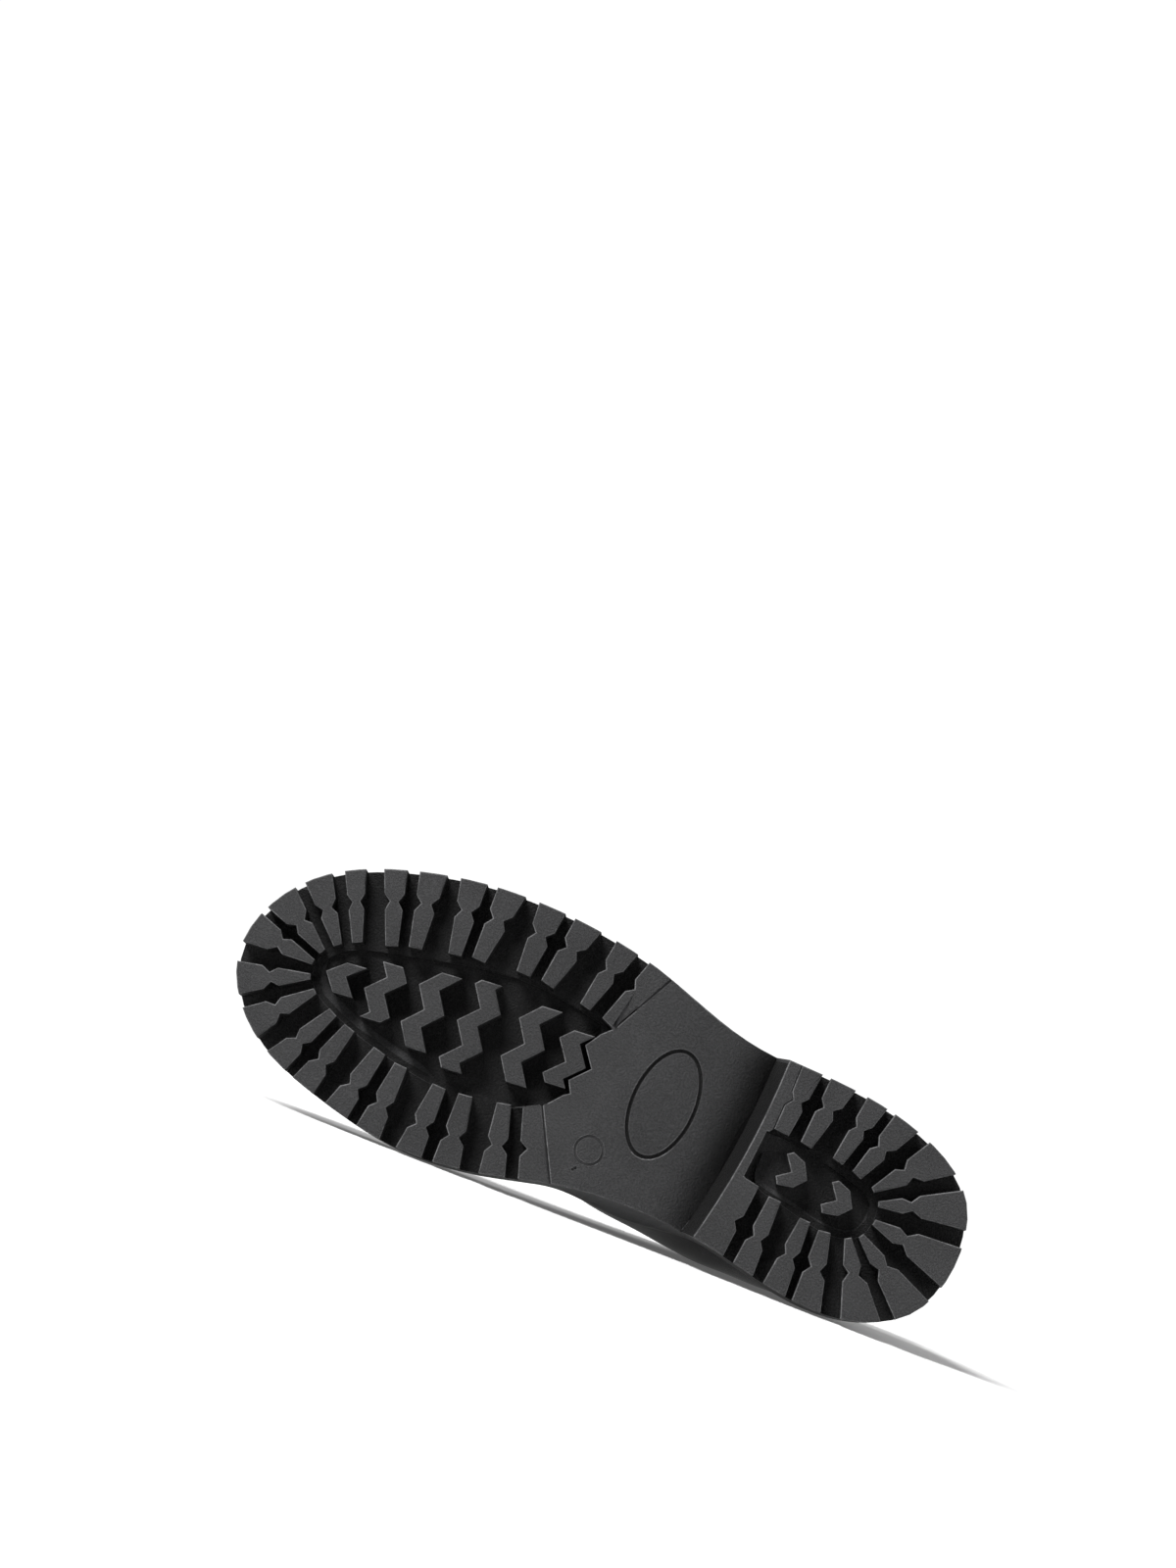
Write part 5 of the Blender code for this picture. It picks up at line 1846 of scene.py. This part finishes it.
@dataclass
class Quarters:
    """Both sides and the back of the upper in one shell, with a rolled edge and a padded collar.

    Attributes:
        step: how far the leather stands proud of the vamp.
        wall: its thickness.
        pad: how much the collar's padding adds inside.
        puff: how much it adds outside.
        pad_along: shares of the way along between which the padding grows.
        pad_up: shares of the way up between which it grows.
        seam: how far below the rim the row of stitches under the padding runs.
        front_edge: how far behind the quarter's rib the front edge starts.
        facing_end: the share of the way along where the facing's stitches end.
        collar_start: the share where those under the collar start.
    """

    FACE_ROWS = 46  # points up each face of a section
    RIM_ROWS = 9  # points over its rim
    COLLAR_ROWS = 9  # rows under the rim in the collar's leather

    last: Last
    step: float = 1.6
    wall: float = 2.8
    pad: float = 4.0
    puff: float = 1.5
    pad_along: Pair = (0.775, 0.84)
    pad_up: Pair = (0.78, 0.92)
    seam: float = 20.0
    front_edge: float = 0.004
    facing_end: float = 0.745
    collar_start: float = 0.765

    def _seam_up(self, side: int, along: float) -> float:
        """How far up the row of stitches under the padding runs."""
        return self.last.below_head(side, along, self.seam)

    def proud(self, side: int, along: float, up: float, seam_up: float) -> float:
        """How far the outer face stands off the last.

        Args:
            side: +1 lateral, -1 medial.
            along: the share of the way along.
            up: the share of the way up.
            seam_up: the share up at which the collar's stitches run.

        Returns:
            The distance.
        """
        padded = smooth(along, 0.755, 0.80)
        share = (up - seam_up) / max(1 - seam_up, 1e-6)
        puff = 0.0
        if share > 0:
            puff = self.puff * math.sin(math.pi * min(share, 1.0) ** 0.75)
        dent = 0.5 * bell(share, 0.0, 0.05)
        return self.step * smooth(up, 0.0, 0.12) + padded * (puff - dent)

    def depth(self, along: float, up: float) -> float:
        """How far the inner face lies inside the last's outer face."""
        return self.wall + self.pad * smooth(along, *self.pad_along) * smooth(up, *self.pad_up)

    def _section(self, side: int, along: float, ease: float) -> Section:
        """The closed section at one rib: up the outer face, over the rim and down the inner face.

        Args:
            side: +1 lateral, -1 medial.
            along: the rib's share.
            ease: 1 for the full thickness, less where the front edge rounds off.

        Returns:
            The section's points.
        """
        heights = [1 - (1 - t) ** 1.2 for t in np.linspace(0.0, 1.0, self.FACE_ROWS)]
        seam_up = self._seam_up(side, along)
        outer, inner = [], []
        for up in heights:
            off = self.proud(side, along, up, seam_up)
            inside = -self.depth(along, up)
            thick = off - inside
            off -= thick * (1 - ease) * 0.5
            inside += thick * (1 - ease) * 0.5
            outer.append(self.last.at(side, along, up, off))
            inner.append(self.last.at(side, along, up, inside))
        rise = self.last.point(side, along, 1.0) - self.last.point(side, along, 0.97)
        rise = rise / np.linalg.norm(rise)
        middle = (outer[-1] + inner[-1]) / 2
        half = (outer[-1] - inner[-1]) / 2
        swell = mix(0.75, 0.62, smooth(along, 0.74, 0.80)) * float(np.linalg.norm(half))
        rim = []
        for angle in np.linspace(0, math.pi, self.RIM_ROWS + 2)[1:-1]:
            rim.append(middle + half * math.cos(angle) + rise * swell * math.sin(angle))
        return [*outer, *rim, *inner[::-1]]

    def build(self, shop: Workshop, finishes: Finishes) -> None:
        """Makes the shell from the lateral front edge round the back to the medial one.

        Args:
            shop: makes the piece.
            finishes: the outer leather, the collar's leather and the lining.
        """
        start = self.last.QUARTER + self.front_edge
        front = [(start + 0.0002, 0.62), (start + 0.0008, 0.86), (start + 0.0022, 1.0)]
        shares = [1 - (1 - t) ** 1.12 for t in np.linspace(0.0, 1.0, 92)]
        rest = [(mix(start + 0.006, 1.0, s), 1.0) for s in shares]
        run = front + rest
        sections = [self._section(+1, along, ease) for along, ease in run]
        sections += [self._section(-1, along, ease) for along, ease in run[-2::-1]]
        bm = sweep(sections, False)
        self._paint(bm, len(sections[0]))
        shop.piece("quarters", bm, finishes, Slot.UPPER, sharp=50.0)

    def _paint(self, bm: BMesh, count: int) -> None:
        """Gives each face its finish by its row on the section: outer, collar or lining.

        Args:
            bm: the shell.
            count: how many points a section has.
        """
        layer = bm.loops.layers.uv.active
        collar_from = self.FACE_ROWS - self.COLLAR_ROWS
        for face in bm.faces:
            if len(face.verts) > 4:
                face.material_index = 0
                continue
            u = sum(corner[layer].uv.x for corner in face.loops) / len(face.loops)
            v = sum(corner[layer].uv.y for corner in face.loops) / len(face.loops)
            row = u * count
            back = 1 - abs(2 * v - 1)
            padded = back > 0.50
            if row > self.FACE_ROWS + self.RIM_ROWS - 1:
                inner_row = count - row
                face.material_index = 1 if padded and inner_row > collar_from else 2
            elif padded and row > collar_from:
                face.material_index = 1
            else:
                face.material_index = 0

    def sew(self, thread: Stitching) -> None:
        """Sews the front edges, the facings and the line under the collar.

        Args:
            thread: takes the rows.
        """
        for side in SIDES:
            for back in (0.008, 0.0165):
                along = self.last.QUARTER + self.front_edge + back
                high = self.last.below_head(side, along, 3.0)
                ups = np.linspace(self.last.above_foot(side, along, 4.0), high, 46)
                thread.row([self._spot(side, along, up) for up in ups])
            alongs = np.linspace(self.last.QUARTER + 0.024, self.facing_end, 60)
            thread.row([self._spot(side, a, self.last.below_head(side, a, 3.0)) for a in alongs])
        run = [(+1, a) for a in np.linspace(self.collar_start, 1.0, 60)]
        run += [(-1, a) for a in np.linspace(1.0, self.collar_start, 60)[1:]]
        thread.row([self._spot(side, a, self._seam_up(side, a)) for side, a in run])

    def _spot(self, side: int, along: float, up: float) -> Knot:
        """A point just on the leather and its normal."""
        off = self.proud(side, along, up, self._seam_up(side, along)) + 0.08
        return self.last.spot(side, along, up, off)


@dataclass
class Tongue:
    """The padded strip under the facings."""

    def build(self, shop: Workshop, finishes: Finishes) -> None:
        """Rounds off the CAD strip.

        Args:
            shop: makes the piece.
            finishes: its leather.
        """
        bm = shop.copy_of("tongue")
        bmesh.ops.recalc_face_normals(bm, faces=bm.faces[:])
        bmesh.ops.join_triangles(
            bm,
            faces=bm.faces[:],
            angle_face_threshold=math.radians(60),
            angle_shape_threshold=math.radians(80),
        )
        obj = shop.piece("tongue_leather", bm, finishes, Slot.UPPER, ["tongue"], sharp=180.0)
        rounded = obj.modifiers.new("rounded", "SUBSURF")
        rounded.levels = rounded.render_levels = 2


@dataclass
class Insole:
    """The board and its sock inside the boot, with an edge eased by this much."""

    eased: float = 0.6

    def build(self, shop: Workshop, finishes: Finishes) -> None:
        """Eases the edge of the CAD board.

        Args:
            shop: makes the piece.
            finishes: the lining.
        """
        bm = shop.copy_of("insole")
        bmesh.ops.dissolve_limit(bm, angle_limit=math.radians(1.0), verts=bm.verts[:], edges=bm.edges[:])
        bm.normal_update()
        rims = [e for e in bm.edges if e.is_manifold and e.calc_face_angle(0.0) > math.radians(60)]
        bevelled(bm, rims, self.eased)
        shop.piece("insole_sock", bm, finishes, Slot.LINING, ["insole"], sharp=45.0)


# ---- eyelets and lace ---------------------------------------------------------------------------


@dataclass
class Eyelets:
    """Two rows of rolled rings on the facings.

    Attributes:
        alongs: the shares of the way along where they stand, from the toe.
        from_edge: how far below the facing's edge.
        radius: of a ring.
        hole: radius of its hole.
        thick: how high it stands.
        seat: how far the facing stands proud of the last.
        lift: how far the ring's own middle stands over the facing.
    """

    last: Last
    alongs: tuple[float, ...] = (0.53, 0.59, 0.65, 0.705)
    from_edge: float = 9.0
    radius: float = 4.2
    hole: float = 2.1
    thick: float = 0.95
    seat: float = 1.6
    lift: float = 0.35

    def spot(self, side: int, number: int, from_edge: float, height: float) -> Knot:
        """A point beside an eyelet.

        Args:
            side: +1 lateral, -1 medial.
            number: the eyelet, from the toe.
            from_edge: distance from the facing's edge.
            height: over the facing.

        Returns:
            The point and the outward normal.
        """
        along = self.alongs[number]
        up = self.last.below_head(side, along, from_edge)
        return self.last.spot(side, along, up, self.seat + height)

    def _profile(self) -> list[Pair]:
        """Radius and height round a ring's section, as a closed line.

        Returns:
            The pairs, once round.
        """
        rows = [(self.hole + 0.05, -0.55), (self.hole, 0.15)]
        middle = (self.hole + self.radius) / 2
        half = (self.radius - self.hole) / 2
        for angle in np.radians(np.linspace(170, 10, 9)):
            rows.append((middle + half * math.cos(angle), 0.1 + self.thick * math.sin(angle) ** 0.7))
        rows += [(self.radius, 0.0), (self.radius - 0.3, -0.3)]
        return rows

    def build(self, shop: Workshop, finishes: Finishes) -> None:
        """Spins and sets every ring.

        Args:
            shop: makes the pieces.
            finishes: the enamel.
        """
        for side, word in SIDES.items():
            for number in range(len(self.alongs)):
                bm = bmesh.new()
                line = [bm.verts.new((radius, 0.0, height)) for radius, height in self._profile()]
                edges = [bm.edges.new(pair) for pair in zip(line, line[1:] + line[:1])]
                bmesh.ops.spin(
                    bm,
                    geom=[*line, *edges],
                    cent=(0, 0, 0),
                    axis=(0, 0, 1),
                    angle=2 * math.pi,
                    steps=28,
                    use_merge=True,
                )
                bmesh.ops.remove_doubles(bm, verts=bm.verts[:], dist=0.002)
                bmesh.ops.recalc_face_normals(bm, faces=bm.faces[:])
                middle, normal = self.spot(side, number, self.from_edge, self.lift)
                turn = normal.to_track_quat("Z", "Y").to_matrix().to_4x4()
                bmesh.ops.transform(bm, matrix=Matrix.Translation(middle) @ turn, verts=bm.verts[:])
                name = f"eyelet_{word}_{number + 1}"
                shop.piece(f"eyelet_ring_{word}_{number + 1}", bm, finishes, Slot.METAL, [name], sharp=60.0)


@dataclass
class Laces:
    """A flat braided lace: a straight bar, then crossings.

    A crossing comes up through one eyelet and dives under the facing opposite. Its knots beside an eyelet
    are pairs: how far from the facing's edge, and how high over the facing.

    Attributes:
        width: the lace's width.
        thick: its thickness.
        over: how high the bar runs over the facings.
    """

    RISE = ((9.0, -1.4), (8.7, 0.6), (6.6, 2.0), (3.6, 1.75))  # up through an eyelet and over its facing
    DIVE = ((-0.5, -3.6), (3.0, -5.2), (7.5, -5.2))  # under the facing opposite
    TUCK = ((0.5, -3.6), (3.0, -5.0), (7.5, -5.2))  # under a facing at the bar
    STEPS = 8  # sections from one knot to the next
    ROUND = 16  # points round a section

    eyelets: Eyelets
    width: float = 4.3
    thick: float = 1.7
    over: float = 1.5

    def _cord(self, knots: Sequence[Knot]) -> BMesh:
        """A flat cord on a smooth line through the knots.

        Args:
            knots: points on the cord's middle line and the way its face looks.

        Returns:
            The closed cord, with millimetres along it in its UV map.
        """
        points = [point for point, _ in knots]
        faces = [normal for _, normal in knots]
        centres, ups = [], []
        count = len(points)
        for i in range(count - 1):
            before = points[i - 1] if i > 0 else points[0] * 2 - points[1]
            after = points[i + 2] if i + 2 < count else points[-1] * 2 - points[-2]
            a, b, c, d = before, points[i], points[i + 1], after
            for step in range(self.STEPS if i < count - 2 else self.STEPS + 1):
                t = step / self.STEPS
                bent = (2 * a - 5 * b + 4 * c - d) * t * t + (3 * b - a - 3 * c + d) * t**3
                centres.append(0.5 * (2 * b + (c - a) * t + bent))
                ups.append(faces[i].lerp(faces[i + 1], t))
        for _ in range(2):
            middle = [(a + b * 2 + c) / 4 for a, b, c in zip(centres, centres[1:], centres[2:])]
            centres = [centres[0], *middle, centres[-1]]
        sections, length = [], 0.0
        lengths = []
        for i, centre in enumerate(centres):
            ahead = (centres[min(i + 1, len(centres) - 1)] - centres[max(i - 1, 0)]).normalized()
            up = (ups[i] - ahead * ups[i].dot(ahead)).normalized()
            across = ahead.cross(up)
            section = []
            for k in range(self.ROUND):
                angle = 2 * math.pi * k / self.ROUND
                wide = math.copysign(abs(math.cos(angle)) ** 0.75, math.cos(angle)) * self.width / 2
                high = math.copysign(abs(math.sin(angle)) ** 0.85, math.sin(angle)) * self.thick / 2
                section.append(centre + across * wide + up * high)
            sections.append(section)
            if i:
                length += (centre - centres[i - 1]).length
            lengths.append(length)
        bm = sweep(sections, False)
        layer = bm.loops.layers.uv.active
        for face in bm.faces:
            for corner in face.loops:
                share = corner[layer].uv.y * (len(sections) - 1)
                low = min(int(share), len(lengths) - 2)
                corner[layer].uv.y = mix(lengths[low], lengths[low + 1], share - low)
        return bm

    def _gap(self, number: float, lower: float) -> Knot:
        """A point in the gap between the facings, below the straight line across it.

        Args:
            number: between which pairs of eyelets.
            lower: how far below.

        Returns:
            The point and the way up there.
        """
        low, high = int(math.floor(number)), int(math.ceil(number))
        points, ups = [], []
        for at in (low, high):
            for side in SIDES:
                point, normal = self.eyelets.spot(side, at, 0.5, 0.0)
                points.append(point)
                ups.append(normal)
        up = sum(ups, Vector()).normalized()
        return sum(points, Vector()) / 4 - up * lower, up

    def _bar(self) -> BMesh:
        """The straight run between the lowest eyelets, which enters both from above.

        Returns:
            The cord.
        """
        knots = []
        for side in (-1, +1):
            run = [(9.0, -1.2), (8.6, 0.5)]
            run += [(6.6, self.over + 0.4), (3.2, self.over + 0.1), (0.4, self.over - 0.3)]
            half = [self.eyelets.spot(side, 0, from_edge, height) for from_edge, height in run]
            knots += half if side < 0 else half[::-1]
        return self._cord(knots)

    def _crossing(self, side: int, number: int, lift: float) -> BMesh:
        """A run from one eyelet, over its facing, under the facing opposite and into the next eyelet.

        The first one comes from the bar's eyelet and runs beneath both facings.

        Args:
            side: where it starts.
            number: its first eyelet.
            lift: how far it rides over the other strand at the middle.

        Returns:
            The cord.
        """
        rise, dive, lower = (self.RISE, self.DIVE, 1.6) if number else (self.TUCK[::-1], self.TUCK, 3.0)
        start = [self.eyelets.spot(side, number, *spot) for spot in rise]
        middle, up = self._gap(number + 0.5, lower - lift)
        end = [self.eyelets.spot(-side, number + 1, *spot) for spot in dive]
        return self._cord([*start, (middle, up), *end])

    def build(self, shop: Workshop, finishes: Finishes) -> None:
        """Threads the lace.

        Args:
            shop: makes the pieces.
            finishes: the weave.
        """
        shop.piece("lace_straight", self._bar(), finishes, Slot.LACE, ["lace_bar"], sharp=80.0)
        for number in range(3):
            for side, lift in ((+1, 1.0), (-1, -1.0)):
                bm = self._crossing(side, number, lift)
                name = f"lace_from_{SIDES[side]}_{number + 1}"
                shop.piece(name, bm, finishes, Slot.LACE, [f"lace_crossing_{number + 1}"], sharp=80.0)


# ---- studio -------------------------------------------------------------------------------------


class Sun(NamedTuple):
    """A soft distant light: where it comes from, its strength and its width in degrees."""

    name: str
    towards: Triple
    power: float
    spread: float


@dataclass(frozen=True)
class Studio:
    """A pale seamless floor under soft light, and the camera that looks at the tread.

    Attributes:
        lens: focal length for a film 36 mm wide.
        camera: where the camera stands.
        turn: how it is turned, in degrees.
        floor: radius of the floor.
        suns: the distant lights.
        box: where the softbox hangs.
        box_aim: where it looks.
        box_size: its width and height.
        box_power: its power in watts.
        ambient: strength of the surround's own light.
        surround: how bright the surround looks.
    """

    lens: float = 63.02
    camera: Triple = (0.0565, -1.1481, 0.0293)
    turn: Triple = (97.478, -21.137, 2.775)
    floor: float = 3.0
    suns: tuple[Sun, ...] = (
        Sun("key", (-0.55, -0.62, 0.78), 4.0, 24.0),
        Sun("fill", (0.9, -0.55, 0.25), 1.3, 45.0),
    )
    box: Triple = (-1.3, 0.9, 1.3)
    box_aim: Triple = (0, 0, 0.05)
    box_size: Pair = (1.2, 0.8)
    box_power: float = 14.0
    ambient: float = 0.26
    surround: float = 1.05

    def _hang(self, sun: Sun) -> None:
        """Hangs a distant light.

        Args:
            sun: the light.
        """
        light = bpy.data.lights.new(sun.name, "SUN")
        light.energy = sun.power
        light.angle = math.radians(sun.spread)
        add(sun.name, light).rotation_euler = Vector(sun.towards).to_track_quat("Z", "Y").to_euler()

    def _softbox(self) -> None:
        """A rectangular light whose reflection gives the polish its highlights."""
        light = bpy.data.lights.new("side_box", "AREA")
        light.shape = "RECTANGLE"
        light.size, light.size_y = self.box_size
        light.energy = self.box_power
        obj = add("side_box", light)
        obj.location = self.box
        obj.rotation_euler = (Vector(self.box) - Vector(self.box_aim)).to_track_quat("Z", "Y").to_euler()

    def _world(self) -> None:
        """A white surround to look at that gives only a dim light of its own."""
        world = bpy.data.worlds.new("studio")
        bpy.context.scene.world = world
        g = Graph(world, Matrix())
        seen = g.node("ShaderNodeLightPath").out("Is Camera Ray")
        dim = g.node("ShaderNodeBackground", {}, {"Strength": self.ambient, "Color": WHITE})
        white = g.node("ShaderNodeBackground", {}, {"Strength": self.surround, "Color": WHITE})
        both = g.node("ShaderNodeMixShader", {}, {0: seen, 1: dim, 2: white})
        g.node("ShaderNodeOutputWorld", {}, {"Surface": both})

    def build(self, paper: bpy.types.Material) -> None:
        """Lays the floor, hangs the lights and sets the camera.

        Args:
            paper: the floor's material.
        """
        bm = bmesh.new()
        bmesh.ops.create_circle(bm, cap_ends=True, segments=96, radius=self.floor)
        floor = add("floor", mesh_of("floor", bm))
        floor.data.materials.append(paper)
        for sun in self.suns:
            self._hang(sun)
        self._softbox()
        self._world()
        bpy.context.scene.view_settings.view_transform = "Standard"
        data = bpy.data.cameras.new("camera")
        data.lens = self.lens
        data.sensor_fit = "AUTO"
        data.sensor_width = 36.0
        data.clip_start = 0.01
        obj = add("camera", data)
        obj.location = self.camera
        obj.rotation_euler = [math.radians(angle) for angle in self.turn]
        bpy.context.scene.camera = obj


def main() -> None:
    """Dresses the boot, piece by piece, from the tread up."""
    logging.basicConfig(level=logging.INFO, format="%(name)s: %(message)s")
    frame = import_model()
    place = Pose().place(frame["record"])
    shop = Workshop(place, frame["nodes"])

    tread = TreadRubber().make(place)
    side = SoleSide().make(place)
    layer = SoleSide("midsole_side", (0.011, 0.011, 0.012), rough=0.36, line=0.5).make(place)
    jet, black, brown = (0.0065, 0.0065, 0.007), (0.012, 0.012, 0.0125), (0.085, 0.055, 0.038)
    polished = Leather("polished_leather", jet, 0.29, polish=0.5, specular=0.34).make(place)
    collar = Leather("collar_leather", black, 0.46, grain=1.2, relief=0.07).make(place)
    welting = Leather("welt_leather", black, 0.28, polish=0.35, grain=0.7).make(place)
    lining = Leather("lining_leather", brown, 0.62, grain=0.8, relief=0.05, fleck=0.2).make(place)
    thread = Thread().make(place)
    pale = Thread("welt_thread", (0.16, 0.155, 0.145)).make(place)
    enamel = Enamel().make(place)
    weave = Weave().make(place)

    shape = SoleShape()
    last = Last(shape)
    Outsole(shape).build(shop, [tread, side])
    FieldBand("forefoot_slope", shape, FORE_FIELD, (0.115, 0.45)).build(shop, [tread])
    FieldBand("heel_slope", shape, HEEL_FIELD, (0.28, 0.92), width=4.2).build(shop, [tread])
    Midsole(shape).build(shop, [layer])
    welt_row = Stitching("welt_stitches", pitch=4.2, size=(3.4, 0.95, 0.6))
    Welt(shape).build(shop, [welting], welt_row)
    welt_row.build(shop, [pale], Slot.WELT)
    Vamp(last).build(shop, [polished, lining])
    quarters = Quarters(last)
    quarters.build(shop, [polished, collar, lining])
    rows = Stitching("upper_stitches")
    quarters.sew(rows)
    rows.build(shop, [thread], Slot.UPPER)
    Insole().build(shop, [lining])
    Tongue().build(shop, [collar])
    eyelets = Eyelets(last)
    eyelets.build(shop, [enamel])
    Laces(eyelets).build(shop, [weave])
    Studio().build(Paper().make(place))


if __name__ == "__main__":
    main()
